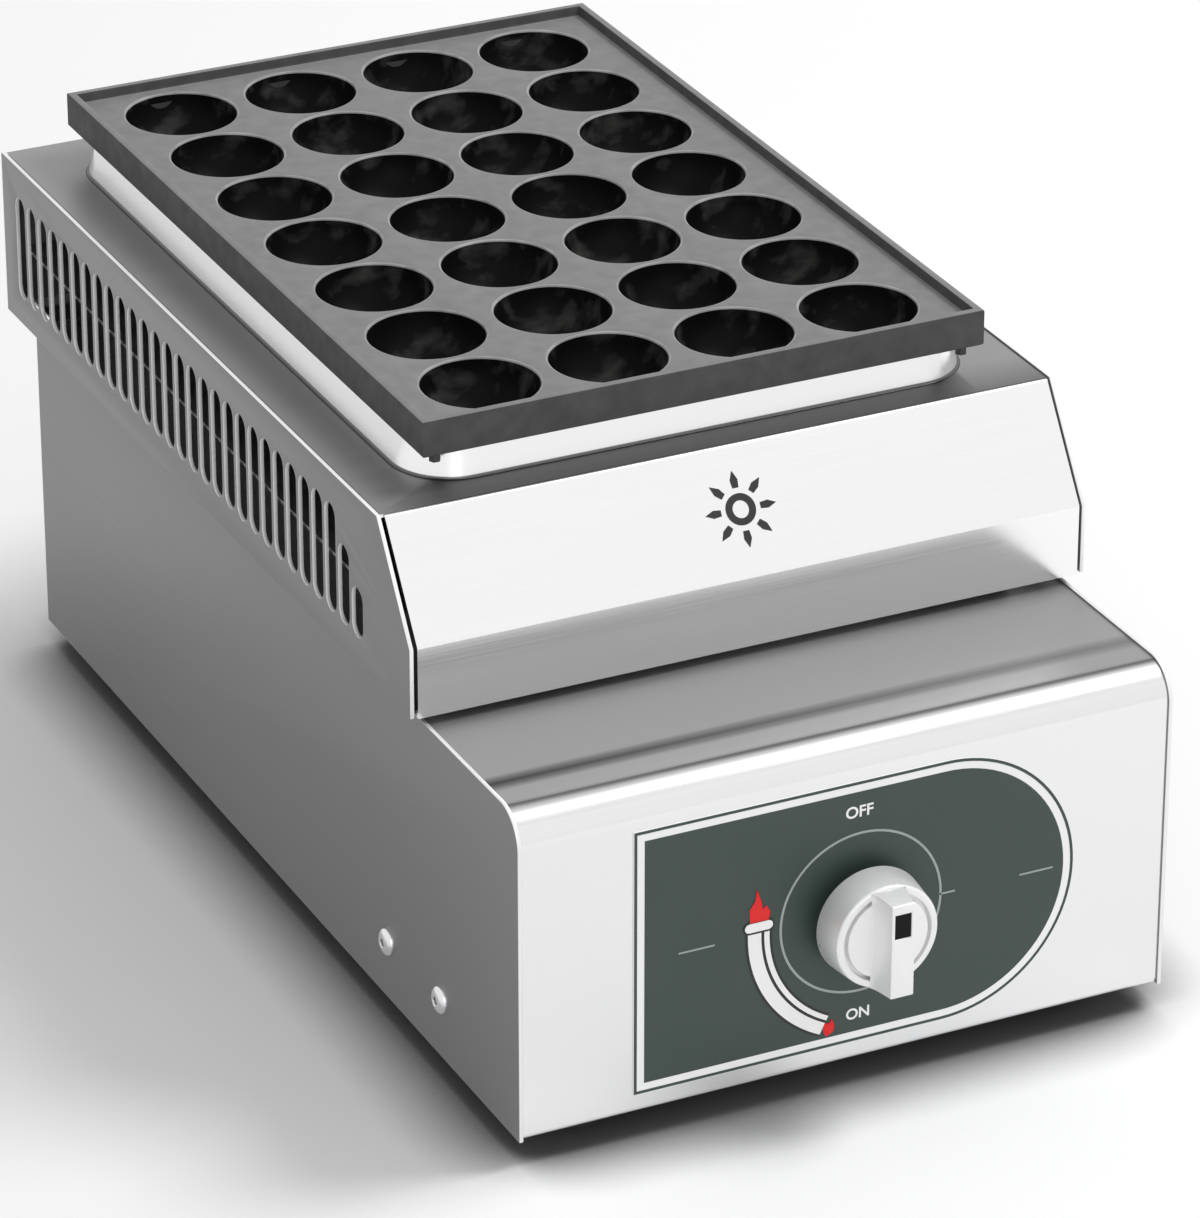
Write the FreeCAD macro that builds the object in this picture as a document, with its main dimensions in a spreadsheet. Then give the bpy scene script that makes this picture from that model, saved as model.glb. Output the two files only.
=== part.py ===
import FreeCAD, Part
import math
import os
import re

import Sketcher
from FreeCAD import Placement, Rotation, Vector

# Gas takoyaki maker with one cast pan of ball cups on a raised hood, and a low sheet metal body.
# Millimetres. +X is to the right of the user, +Y away from the user, +Z up.
# The origin is the middle of the footprint, on the surface that the rubber feet stand on.

doc = FreeCAD.newDocument("takoyaki_maker")

# Driving sizes
sizes = {
    # body
    "body_width": 230,
    "body_depth": 402,
    "body_height": 115,
    "foot_height": 9,
    "side_sheet": 1.5,
    "sheet": 1.2,
    "panel_reveal": 0.8,
    "bend_radius": 12,
    "return_width": 10,
    "flange_width": 14,
    "front_flange": 5,
    "sheet_gap": 0.3,
    # feet
    "foot_radius": 10,
    "foot_inset_x": 28,
    "foot_inset_y": 22,
    # hood
    "hood_overhang": 5,
    "hood_height": 60,
    "hood_gap": 3,
    "hood_side_sheet": 2,
    "hood_back_reach": 14,
    "band_height": 24,
    "band_setback": 68,
    "slant_run": 24,
    "hood_reveal": 0.5,
    "band_lift": 1,
    "band_end_gap": 1.2,
    "band_corner": 3.5,
    "hood_flange": 7,
    # raised lip round the opening of the hood
    "lip_side_margin": 20,
    "lip_front_margin": 13,
    "lip_back_margin": 16,
    "lip_corner": 20,
    "lip_height": 10.7,
    "lip_chamfer": 1.1,
    "lip_shelf": 3.5,
    # slots in the sides of the hood
    "slot_width": 8.4,
    "slot_count": 27,
    "slot_first": 16.6,
    "slot_front": 16.2,
    "slot_top": 11.4,
    "slot_bottom": 49.6,
    "slot_step": 10.4,
    # pan
    "cup_columns": 4,
    "cup_rows": 7,
    "cup_land": 2.9,
    "cup_wall": 2.8,
    "cup_sides": 12,
    "pan_side_reach": -0.5,
    "pan_front_reach": 3,
    "pan_edge_x": 32,
    "pan_edge_y": 26.6,
    "pan_plate": 3,
    "pan_border": 8,
    "rim_wall": 3,
    "rim_rise": 3.5,
    "rim_drop": 9,
    "pan_corner": 2.5,
    "pan_seat_gap": 0.3,
    "peg_radius": 2,
    "peg_length": 3.4,
    "peg_inset_x": 6,
    "peg_inset_y": 4.3,
    # burner box and the rails that carry the hood
    "box_setback": 16,
    "box_depth": 40,
    "ledge_drop": 30,
    "air_slot_width": 8,
    "air_slot_length": 26,
    "air_slot_pitch": 42,
    # burners
    "burner_spacing": 90,
    "burner_lift": 20,
    "burner_radius": 13,
    "burner_end_gap": 16.8,
    "port_depth": 2,
    "mixing_length": 50,
    "throat_radius": 10,
    "throat_end": 6,
    "port_width": 5,
    "port_length": 10,
    "port_count": 8,
    "burner_clearance": 0.15,
    "bracket_width": 120,
    # valve, plug and spindle
    "knob_offset": 4,
    "knob_height": 53.75,
    "valve_width": 25,
    "valve_inlet_reach": 5,
    "end_wall": 3,
    "valve_length": 38,
    "valve_setback": 2,
    "plug_radius": 8,
    "plug_length": 20,
    "socket_depth": 12,
    "spindle_flat": 2,
    "run_clearance": 0.06,
    "bonnet_wall": 5,
    "spindle_radius": 4,
    "spindle_tip_radius": 3,
    "collar_radius": 6.5,
    "collar_length": 2,
    "push_travel": 4,
    "end_gap": 0.3,
    "spindle_hole": 6,
    # knob
    "knob_gap": 5.5,
    "knob_radius": 19,
    "knob_depth": 12.5,
    "knob_reach": 28,
    "knob_wall": 2.2,
    "grip_width": 8,
    "grip_base_width": 12.5,
    "grip_length": 34,
    "grip_chamfer": 1.6,
    "marker_width": 5.6,
    "marker_height": 8.4,
    "marker_depth": 0.8,
    "marker_rise": 8.8,
    # control plate on the front
    "plate_left": 75.5,
    "plate_right": 80.5,
    "plate_radius": 46.8,
    "plate_sheet": 0.5,
    # valve bracket
    "bracket_sheet": 1.5,
    "bracket_base": 9,
    "bracket_flange": 24,
    "bracket_upright": 60,
    "bracket_depth": 70,
    # gas train
    "manifold_radius": 6,
    "jet_gap": 4,
    "jet_radius": 4.5,
    "jet_length": 12,
    "pipe_radius": 4,
    "pipe_nut_radius": 8,
    "pipe_nut_length": 10,
    "inlet_offset": 60,
    "inlet_reach": 26,
    "thread_radius": 6.5,
    "tail_radius": 4.75,
    "inlet_collar": 5,
    "inlet_bore": 2.8,
    "inlet_hex_radius": 11,
    "locknut_width": 6,
    # spark ignition
    "igniter_width": 13,
    "igniter_length": 30,
    "igniter_height": 20,
    "lead_radius": 1.6,
    "lead_drop": 8,
    "electrode_inset": 25.5,
    "electrode_setback": 46,
    "ceramic_radius": 3.4,
    "ceramic_length": 32,
    "rod_rise": 12,
    "spark_radius": 1,
}

# Places worked out from the driving sizes
places = {
    "front_y": "knob_reach - (body_depth + inlet_reach + knob_reach) / 2",
    "body_rear_y": "front_y + body_depth",
    "base_z": "foot_height",
    "deck_z": "base_z + body_height",
    "side_inner_x": "body_width / 2 - side_sheet",
    "panel_y": "front_y + panel_reveal",
    "panel_inner_y": "panel_y + sheet",
    "back_inner_y": "body_rear_y - sheet",
    "hood_z": "deck_z + hood_gap",
    "hood_top_z": "hood_z + hood_height",
    "hood_front_y": "front_y + band_setback",
    "hood_edge_y": "hood_front_y + slant_run",
    "hood_rear_y": "body_rear_y + hood_back_reach",
    "hood_width": "body_width + 2 * hood_overhang",
    "hood_inner_x": "hood_width / 2 - hood_side_sheet",
    "slant_drop": "hood_height - band_height",
    "slant_shift": "sheet * sqrt(slant_run ^ 2 + slant_drop ^ 2) / slant_drop",
    "cover_z": "hood_top_z - hood_reveal",
    "band_y": "hood_front_y + hood_reveal",
    "cover_edge_y": "hood_edge_y + hood_reveal * 0.6",
    "slot_pitch": "(hood_rear_y - hood_edge_y - slot_first - slot_front) / (slot_count + 1)",
    "lip_top_z": "hood_top_z + lip_height",
    "lip_half_width": "hood_width / 2 - lip_side_margin",
    "lip_front_y": "hood_edge_y + lip_front_margin",
    "lip_rear_y": "hood_rear_y - lip_back_margin",
    "pan_foot_z": "lip_top_z + pan_seat_gap",
    "pan_surface_z": "pan_foot_z + rim_drop",
    "pan_width": "2 * (lip_half_width + pan_side_reach)",
    "pan_depth": "lip_rear_y - lip_front_y + 2 * pan_front_reach",
    "pan_y": "(lip_front_y + lip_rear_y) / 2",
    "cup_pitch_x": "(pan_width - 2 * pan_edge_x) / (cup_columns - 1)",
    "cup_pitch_y": "(pan_depth - 2 * pan_edge_y) / (cup_rows - 1)",
    "cup_radius": "(min(cup_pitch_x; cup_pitch_y) - cup_land) / 2",
    "cup_first_x": "-(cup_columns - 1) * cup_pitch_x / 2",
    "cup_first_y": "pan_y - (cup_rows - 1) * cup_pitch_y / 2",
    "box_front_y": "hood_front_y + box_setback",
    "box_rear_y": "back_inner_y - flange_width",
    "box_floor_z": "deck_z - box_depth",
    "box_half_width": "side_inner_x - flange_width - 2",
    "ledge_z": "hood_top_z - ledge_drop",
    "burner_z": "box_floor_z + burner_lift",
    "burner_x": "burner_spacing / 2",
    "burner_front_y": "box_front_y - mixing_length",
    "burner_rear_y": "box_rear_y - burner_end_gap",
    "port_pitch": "(burner_rear_y - box_front_y) / (port_count + 1)",
    "ports_y": "box_front_y + port_pitch",
    "jet_y": "burner_front_y - jet_gap",
    "manifold_y": "jet_y - jet_length - manifold_radius",
    "knob_z": "base_z + knob_height",
    "valve_front_y": "panel_inner_y + valve_setback",
    "valve_rear_y": "valve_front_y + valve_length",
    "bore_front_y": "valve_front_y + bonnet_wall",
    "plug_front_y": "valve_rear_y - end_wall - end_gap - plug_length",
    "collar_y": "bore_front_y + end_gap",
    "knob_back_y": "front_y - knob_gap",
    "knob_face_y": "knob_back_y - knob_depth",
    "grip_y": "front_y - knob_reach",
    "bracket_z": "base_z + bracket_base",
    "pipe_y": "valve_front_y + valve_length / 2",
    "electrode_x": "box_half_width - electrode_inset",
    "electrode_y": "box_front_y + electrode_setback",
}

sheet = doc.addObject("Spreadsheet::Sheet", "Sizes")
for row, (alias, number) in enumerate(sizes.items(), start=1):
    sheet.set(f"A{row}", alias)
    sheet.set(f"B{row}", str(number))
    sheet.setAlias(f"B{row}", alias)
doc.recompute()

WORD = re.compile(r"[a-z][a-z0-9_]*")


def formula(text):
    # the sheet's own form of a formula written in the words above
    def swap(match):
        word = match.group(0)
        if word in places:
            return "(" + formula(places[word]) + ")"
        if word in sizes:
            return "Sizes." + word
        return word

    return WORD.sub(swap, str(text))


def value(text):
    return float(sheet.evalExpression(formula(text)))


def bind(thing, prop, text):
    thing.setExpression(prop, formula(text))


nodes = {}


def keep(name, thing):
    thing.Label = name
    nodes[name] = thing
    return thing


# Sketches

def new_body(name):
    return keep(name, doc.addObject("PartDesign::Body", name))


def origin_of(body, role):
    return next(f for f in body.Origin.OriginFeatures if f.Role == role)


def new_sketch(body, plane, height="0"):
    made = body.newObject("Sketcher::SketchObject", body.Name + "_sketch")
    made.AttachmentSupport = [(origin_of(body, plane), "")]
    made.MapMode = "FlatFace"
    bind(made, "AttachmentOffset.Base.z", height)
    return made


def plan_sketch(body, z):
    return new_sketch(body, "XY_Plane", z)


def front_sketch(body, y):
    return new_sketch(body, "XZ_Plane", f"-({y})")


def side_sketch(body, x):
    return new_sketch(body, "YZ_Plane", x)


def place_point(sketch, geometry, position, across, up):
    for kind, text in (("DistanceX", across), ("DistanceY", up)):
        number = sketch.addConstraint(Sketcher.Constraint(kind, -1, 1, geometry, position, value(text)))
        sketch.setExpression(f"Constraints[{number}]", formula(text))


def polygon(sketch, points):
    first = sketch.GeometryCount
    corners = [Vector(value(a), value(b), 0) for a, b in points]
    count = len(points)
    for i in range(count):
        sketch.addGeometry(Part.LineSegment(corners[i], corners[(i + 1) % count]))
    for i in range(count):
        after = first + (i + 1) % count
        sketch.addConstraint(Sketcher.Constraint("Coincident", first + i, 2, after, 1))
    for i, (across, up) in enumerate(points):
        place_point(sketch, first + i, 1, across, up)


def rectangle(sketch, left, low, right, high):
    polygon(sketch, [(left, low), (right, low), (right, high), (left, high)])


def circle(sketch, across, up, radius):
    centre = Vector(value(across), value(up), 0)
    made = sketch.addGeometry(Part.Circle(centre, Vector(0, 0, 1), value(radius)))
    place_point(sketch, made, 3, across, up)
    number = sketch.addConstraint(Sketcher.Constraint("Radius", made, value(radius)))
    sketch.setExpression(f"Constraints[{number}]", formula(radius))


def arc(sketch, across, up, radius, start, end):
    centre = Vector(value(across), value(up), 0)
    ring = Part.Circle(centre, Vector(0, 0, 1), value(radius))
    made = sketch.addGeometry(Part.ArcOfCircle(ring, math.radians(start), math.radians(end)))
    place_point(sketch, made, 3, across, up)
    number = sketch.addConstraint(Sketcher.Constraint("Radius", made, value(radius)))
    sketch.setExpression(f"Constraints[{number}]", formula(radius))
    return made


def line(sketch, start, end):
    a = Vector(value(start[0]), value(start[1]), 0)
    b = Vector(value(end[0]), value(end[1]), 0)
    return sketch.addGeometry(Part.LineSegment(a, b))


def join_smoothly(sketch, chain):
    # each piece ends where the next begins, in line with it
    for i, piece in enumerate(chain):
        after = chain[(i + 1) % len(chain)]
        sketch.addConstraint(Sketcher.Constraint("Tangent", piece, 2, after, 1))


def upright_slot(sketch, across, low, high, radius):
    # low and high are the centres of the two ends, which are rounded in three flats
    corners = []
    for x, z in ((-1, 0), (-0.5, -1), (0.5, -1), (1, 0)):
        corners.append((f"{across} + {x} * ({radius})", f"{low} + {z} * ({radius})"))
    for x, z in ((1, 0), (0.5, 1), (-0.5, 1), (-1, 0)):
        corners.append((f"{across} + {x} * ({radius})", f"{high} + {z} * ({radius})"))
    polygon(sketch, corners)


def rounded_rectangle(sketch, left, low, right, high, radius):
    x0, x1 = f"({left}) + ({radius})", f"({right}) - ({radius})"
    y0, y1 = f"({low}) + ({radius})", f"({high}) - ({radius})"
    chain = [
        arc(sketch, x0, y0, radius, 180, 270),
        line(sketch, (x0, low), (x1, low)),
        arc(sketch, x1, y0, radius, 270, 360),
        line(sketch, (right, y0), (right, y1)),
        arc(sketch, x1, y1, radius, 0, 90),
        line(sketch, (x1, high), (x0, high)),
        arc(sketch, x0, y1, radius, 90, 180),
        line(sketch, (left, y1), (left, y0)),
    ]
    join_smoothly(sketch, chain)


def turning_axis(sketch, start, end):
    made = line(sketch, start, end)
    sketch.toggleConstruction(made)
    place_point(sketch, made, 1, *start)
    place_point(sketch, made, 2, *end)


# Features of a body

def pad(body, sketch, length, midplane=False, flip=False, draft=None):
    made = body.newObject("PartDesign::Pad", body.Name + "_pad")
    made.Profile = sketch
    made.SideType = "Symmetric" if midplane else "One side"
    made.Reversed = flip
    bind(made, "Length", length)
    if draft:
        bind(made, "TaperAngle", draft)
    body.Tip = made
    return made


def pocket(body, sketch, depth, flip=False, draft=None):
    doc.recompute()
    before = body.Shape.Volume
    made = body.newObject("PartDesign::Pocket", body.Name + "_pocket")
    made.Profile = sketch
    made.Reversed = flip
    bind(made, "Length", depth)
    if draft:
        bind(made, "TaperAngle", draft)
    body.Tip = made
    doc.recompute()
    if not body.Shape.Volume < before - 1e-6:
        raise RuntimeError(f"{made.Name} in {body.Label} cuts nothing")
    return made


def turn(body, sketch, cut=False):
    kind = "PartDesign::Groove" if cut else "PartDesign::Revolution"
    made = body.newObject(kind, body.Name + "_turn")
    made.Profile = sketch
    made.ReferenceAxis = (sketch, ["Axis0"])
    made.Angle = 360
    body.Tip = made
    return made


def repeat(body, feature, role, pitch, count, role2=None, pitch2=None, count2=None):
    made = body.newObject("PartDesign::LinearPattern", body.Name + "_row")
    made.Originals = [feature]
    made.Direction = (origin_of(body, role), [""])
    made.Mode = "Spacing"
    bind(made, "Offset", pitch)
    bind(made, "Occurrences", count)
    if role2:
        made.Direction2 = (origin_of(body, role2), [""])
        made.Mode2 = "Extent"
        bind(made, "Length2", f"{pitch2} * ({count2} - 1)")
        bind(made, "Occurrences2", count2)
    body.Tip = made
    doc.recompute()
    return made


def edge_at(x=None, y=None, z=None):
    # picks the edges that lie wholly at the given places
    wanted = [None if text is None else value(text) for text in (x, y, z)]

    def test(edge):
        box = edge.BoundBox
        spans = ((box.XMin, box.XMax), (box.YMin, box.YMax), (box.ZMin, box.ZMax))
        for (low, high), goal in zip(spans, wanted):
            if goal is not None and (abs(low - goal) > 0.02 or abs(high - goal) > 0.02):
                return False
        return True

    return test


def fillet(body, radius, *tests):
    doc.recompute()
    base, names = body.Tip, []
    for number, edge in enumerate(base.Shape.Edges, start=1):
        if any(test(edge) for test in tests):
            names.append(f"Edge{number}")
    if not names:
        raise RuntimeError(f"no edge to round in {body.Label}")
    made = body.newObject("PartDesign::Fillet", body.Name + "_fillet")
    made.Base = (base, names)
    bind(made, "Radius", radius)
    body.Tip = made
    doc.recompute()
    return made


def chamfer(body, size, *tests):
    doc.recompute()
    base, names = body.Tip, []
    for number, edge in enumerate(base.Shape.Edges, start=1):
        if any(test(edge) for test in tests):
            names.append(f"Edge{number}")
    made = body.newObject("PartDesign::Chamfer", body.Name + "_chamfer")
    made.Base = (base, names)
    bind(made, "Size", size)
    body.Tip = made
    doc.recompute()
    return made


# Plain solids and their sums

TURNS = {
    "x": Rotation(Vector(0, 1, 0), 90),
    "y": Rotation(Vector(1, 0, 0), -90),
    "z": Rotation(),
}


def set_down(thing, at, axis="z"):
    thing.Placement = Placement(Vector(), TURNS[axis])
    for letter, text in zip("xyz", at):
        bind(thing, f"Placement.Base.{letter}", text)
    return thing


def cylinder(name, radius, length, at, axis="z"):
    made = doc.addObject("Part::Cylinder", name)
    bind(made, "Radius", radius)
    bind(made, "Height", length)
    return set_down(made, at, axis)


def hexagon(name, radius, length, at, axis="z"):
    made = doc.addObject("Part::Prism", name)
    made.Polygon = 6
    bind(made, "Circumradius", radius)
    bind(made, "Height", length)
    return set_down(made, at, axis)


def flats(name, count, radius, length, at):
    made = doc.addObject("Part::Prism", name)
    made.Polygon = count
    bind(made, "Circumradius", radius)
    bind(made, "Height", length)
    return set_down(made, at)


def block(name, width, depth, height, at):
    made = doc.addObject("Part::Box", name)
    bind(made, "Length", width)
    bind(made, "Width", depth)
    bind(made, "Height", height)
    return set_down(made, at)


def fuse(name, *solids):
    made = doc.addObject("Part::MultiFuse", name)
    made.Shapes = list(solids)
    made.Refine = True
    return made


def cut(name, base, *tools):
    made = doc.addObject("Part::Cut", name)
    made.Base = base
    made.Tool = tools[0] if len(tools) == 1 else fuse(name + "_tool", *tools)
    return made


def group(name, *solids):
    made = doc.addObject("Part::Compound", name)
    made.Links = list(solids)
    return keep(name, made)


SIDES = (("left", -1), ("right", 1))


# Body panels

def make_side_panel(name, side):
    body = new_body(name)
    outer = "-body_width / 2" if side < 0 else "side_inner_x"
    wall = side_sketch(body, outer)
    rectangle(wall, "front_y", "base_z", "body_rear_y", "deck_z")
    pad(body, wall, "side_sheet")
    fillet(body, "bend_radius + panel_reveal", edge_at(y="front_y", z="deck_z"))
    inner, tip = f"{side} * side_inner_x", f"{side} * (side_inner_x - flange_width)"
    foot = plan_sketch(body, "base_z")
    rectangle(foot, inner, "panel_y + return_width + 1", tip, "back_inner_y - sheet_gap")
    pad(body, foot, "sheet")
    top = plan_sketch(body, "deck_z - side_sheet")
    rectangle(top, inner, "box_front_y", tip, "back_inner_y - sheet_gap")
    pad(body, top, "side_sheet")


def make_front_panel():
    body = new_body("front_panel")
    profile = side_sketch(body, "0")
    top, low = "deck_z - panel_reveal", "deck_z - panel_reveal - front_flange"
    polygon(profile, [
        ("panel_y + return_width", "base_z"),
        ("panel_y", "base_z"),
        ("panel_y", top),
        ("box_front_y", top),
        ("box_front_y", low),
        ("box_front_y - sheet", low),
        ("box_front_y - sheet", f"{top} - sheet"),
        ("panel_inner_y", f"{top} - sheet"),
        ("panel_inner_y", "base_z + sheet"),
        ("panel_y + return_width", "base_z + sheet"),
    ])
    pad(body, profile, "2 * side_inner_x", midplane=True)
    fillet(body, "bend_radius", edge_at(y="panel_y", z=top))
    fillet(body, "bend_radius - sheet", edge_at(y="panel_inner_y", z=f"{top} - sheet"))
    fillet(body, "2 * sheet", edge_at(y="panel_y", z="base_z"), edge_at(y="box_front_y", z=top))
    fillet(body, "sheet", edge_at(y="panel_inner_y", z="base_z + sheet"),
           edge_at(y="box_front_y - sheet", z=f"{top} - sheet"))
    hole = front_sketch(body, "panel_y")
    circle(hole, "knob_offset", "knob_z", "spindle_hole")
    pocket(body, hole, "sheet")


def make_control_plate():
    body = new_body("control_plate")
    outline = front_sketch(body, "panel_y")
    low, high = "knob_z - plate_radius", "knob_z + plate_radius"
    end = "plate_right - plate_radius"
    bottom = line(outline, ("-plate_left", low), (end, low))
    bulge = arc(outline, end, "knob_z", "plate_radius", -90, 90)
    top = line(outline, (end, high), ("-plate_left", high))
    left = line(outline, ("-plate_left", high), ("-plate_left", low))
    outline.addConstraint(Sketcher.Constraint("Tangent", bottom, 2, bulge, 1))
    outline.addConstraint(Sketcher.Constraint("Tangent", bulge, 2, top, 1))
    outline.addConstraint(Sketcher.Constraint("Coincident", top, 2, left, 1))
    outline.addConstraint(Sketcher.Constraint("Coincident", left, 2, bottom, 1))
    place_point(outline, bottom, 1, "-plate_left", low)
    place_point(outline, left, 1, "-plate_left", high)
    circle(outline, "knob_offset", "knob_z", "spindle_hole")
    pad(body, outline, "plate_sheet")


def make_back_panel():
    body = new_body("back_panel")
    wall = front_sketch(body, "body_rear_y")
    rectangle(wall, "-side_inner_x", "base_z", "side_inner_x", "deck_z")
    pad(body, wall, "sheet", flip=False)
    shelf = plan_sketch(body, "deck_z - sheet")
    reach = "side_inner_x - flange_width - sheet_gap"
    rectangle(shelf, f"-({reach})", "back_inner_y - flange_width", reach, "back_inner_y")
    pad(body, shelf, "sheet")
    hole = front_sketch(body, "body_rear_y")
    circle(hole, "inlet_offset", "knob_z", "thread_radius")
    pocket(body, hole, "sheet", flip=True)


def make_base_plate():
    body = new_body("base_plate")
    outline = plan_sketch(body, "base_z + sheet")
    rectangle(outline, "-(side_inner_x - sheet_gap)", "panel_inner_y + sheet", "side_inner_x - sheet_gap",
              "back_inner_y - sheet_gap")
    pad(body, outline, "sheet")
    cut_air_slots(body, "base_z + sheet", "box_front_y + 40")


def cut_air_slots(body, z, start):
    slot = plan_sketch(body, z)
    x = "-1.5 * air_slot_pitch"
    rectangle(slot, f"{x} - air_slot_width / 2", start, f"{x} + air_slot_width / 2", f"{start} + air_slot_length")
    first = pocket(body, slot, "sheet", flip=True)
    repeat(body, first, "X_Axis", "air_slot_pitch", "4", "Y_Axis", "3 * air_slot_pitch", "2")


# Hood

def make_hood_side(name, side):
    body = new_body(name)
    outer = "-hood_width / 2" if side < 0 else "hood_inner_x"
    wall = side_sketch(body, outer)
    polygon(wall, [
        ("hood_rear_y", "hood_z"),
        ("hood_front_y", "hood_z"),
        ("hood_front_y", "hood_z + band_height"),
        ("hood_edge_y", "hood_top_z"),
        ("hood_rear_y", "hood_top_z"),
    ])
    pad(body, wall, "hood_side_sheet")
    inner, tip = f"{side} * hood_inner_x", f"{side} * (hood_inner_x - hood_flange)"
    foot = plan_sketch(body, "hood_z")
    rectangle(foot, inner, "band_y + 2 * sheet", tip, "hood_rear_y - sheet - sheet_gap")
    pad(body, foot, "sheet")
    low = "hood_top_z - slot_bottom + slot_width / 2"
    high = "hood_top_z - slot_top - slot_width / 2"
    row = side_sketch(body, outer)
    upright_slot(row, "hood_rear_y - slot_first", low, high, "slot_width / 2")
    first = pocket(body, row, "hood_side_sheet", flip=True)
    line_of_slots = repeat(body, first, "Y_Axis", "slot_pitch", "slot_count")
    line_of_slots.Reversed = True
    doc.recompute()
    for step in (1, 2):
        short = side_sketch(body, outer)
        across = f"hood_rear_y - slot_first - (slot_count - 1 + {step}) * slot_pitch"
        upright_slot(short, across, low, f"{high} - {step} * slot_step", "slot_width / 2")
        pocket(body, short, "hood_side_sheet", flip=True)


def make_hood_top():
    body = new_body("hood_top")
    profile = side_sketch(body, "0")
    knee = "hood_z + band_height"
    polygon(profile, [
        ("hood_rear_y", "cover_z"),
        ("cover_edge_y", "cover_z"),
        ("band_y", knee),
        ("band_y", "hood_z + band_lift"),
        ("band_y + sheet", "hood_z + band_lift"),
        ("band_y + sheet", f"{knee} - (slant_shift - sheet) * slant_drop / slant_run"),
        ("cover_edge_y + slant_shift - sheet * slant_run / slant_drop", "cover_z - sheet"),
        ("hood_rear_y", "cover_z - sheet"),
    ])
    pad(body, profile, "2 * hood_inner_x", midplane=True)
    fillet(body, "sheet", edge_at(y="cover_edge_y", z="cover_z"), edge_at(y="band_y", z=knee))
    ends = front_sketch(body, "hood_front_y")
    for side in (-1, 1):
        rectangle(ends, f"{side} * (hood_inner_x - band_end_gap)", "hood_z", f"{side} * hood_width / 2",
                  "hood_top_z")
    pocket(body, ends, "slant_run")
    corner = "hood_inner_x - band_end_gap"
    fillet(body, "band_corner", edge_at(x=f"-({corner})", z="hood_z + band_lift"),
           edge_at(x=corner, z="hood_z + band_lift"))
    lip = plan_sketch(body, "cover_z - sheet / 2")
    rounded_rectangle(lip, "-lip_half_width", "lip_front_y", "lip_half_width", "lip_rear_y", "lip_corner")
    pad(body, lip, "lip_height + hood_reveal + sheet / 2")
    doc.recompute()
    lip_edge = value("lip_top_z")
    chamfer(body, "lip_chamfer", lambda e: e.BoundBox.ZMin > lip_edge - 0.01)
    hollow = plan_sketch(body, "cover_z - sheet")
    rounded_rectangle(hollow, "-(lip_half_width - sheet)", "lip_front_y + sheet", "lip_half_width - sheet",
                      "lip_rear_y - sheet", "lip_corner - sheet")
    pocket(body, hollow, "lip_height + hood_reveal", flip=True)
    inset = "lip_shelf"
    opening = plan_sketch(body, "lip_top_z - 2 * sheet")
    rounded_rectangle(opening, f"-(lip_half_width - ({inset}))", f"lip_front_y + {inset}",
                      f"lip_half_width - ({inset})", f"lip_rear_y - ({inset})", "lip_corner - lip_shelf")
    pocket(body, opening, "3 * sheet", flip=True)


def make_hood_back():
    body = new_body("hood_back")
    wall = front_sketch(body, "hood_rear_y")
    rectangle(wall, "-hood_inner_x", "hood_z + band_lift", "hood_inner_x", "cover_z - sheet")
    pad(body, wall, "sheet")
    foot = plan_sketch(body, "hood_z + band_lift")
    reach = "hood_inner_x - hood_flange - sheet_gap"
    rectangle(foot, f"-({reach})", "hood_rear_y - sheet - hood_flange", reach, "hood_rear_y - sheet")
    pad(body, foot, "sheet")


def make_rail(name, side):
    body = new_body(name)
    section = front_sketch(body, "back_inner_y - sheet_gap")
    web, tip = "side_inner_x - flange_width", "side_inner_x - 1"
    low, high = "deck_z + sheet", "ledge_z"
    corners = [
        (web, low),
        (tip, low),
        (tip, f"{low} + sheet"),
        (f"{web} + sheet", f"{low} + sheet"),
        (f"{web} + sheet", f"{high} - sheet"),
        ("hood_inner_x", f"{high} - sheet"),
        ("hood_inner_x", high),
        (web, high),
    ]
    polygon(section, [(f"{side} * ({x})", z) for x, z in corners])
    pad(body, section, "back_inner_y - sheet_gap - box_front_y")


# Burner box and burners

def make_burner_box():
    body = new_body("burner_box")
    shell = plan_sketch(body, "box_floor_z")
    rectangle(shell, "-box_half_width", "box_front_y", "box_half_width", "box_rear_y")
    pad(body, shell, "box_depth")
    lips = plan_sketch(body, "deck_z")
    rectangle(lips, "-(side_inner_x - 1)", "box_front_y", "side_inner_x - 1", "back_inner_y - sheet_gap")
    pad(body, lips, "sheet")
    hollow = plan_sketch(body, "box_floor_z + sheet")
    rectangle(hollow, "-(box_half_width - sheet)", "box_front_y + sheet", "box_half_width - sheet",
              "box_rear_y - sheet")
    pocket(body, hollow, "box_depth + sheet", flip=True)
    tubes = front_sketch(body, "box_front_y")
    for side in (-1, 1):
        half = "(burner_radius + burner_clearance)"
        rectangle(tubes, f"{side} * burner_x - {half}", f"burner_z - {half}", f"{side} * burner_x + {half}",
                  f"burner_z + {half}")
    pocket(body, tubes, "sheet")
    cut_air_slots(body, "box_floor_z", "box_front_y + 60")
    hole = plan_sketch(body, "box_floor_z")
    rectangle(hole, "-electrode_x - ceramic_radius", "electrode_y - ceramic_radius", "-electrode_x + ceramic_radius",
              "electrode_y + ceramic_radius")
    pocket(body, hole, "sheet", flip=True)


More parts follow.
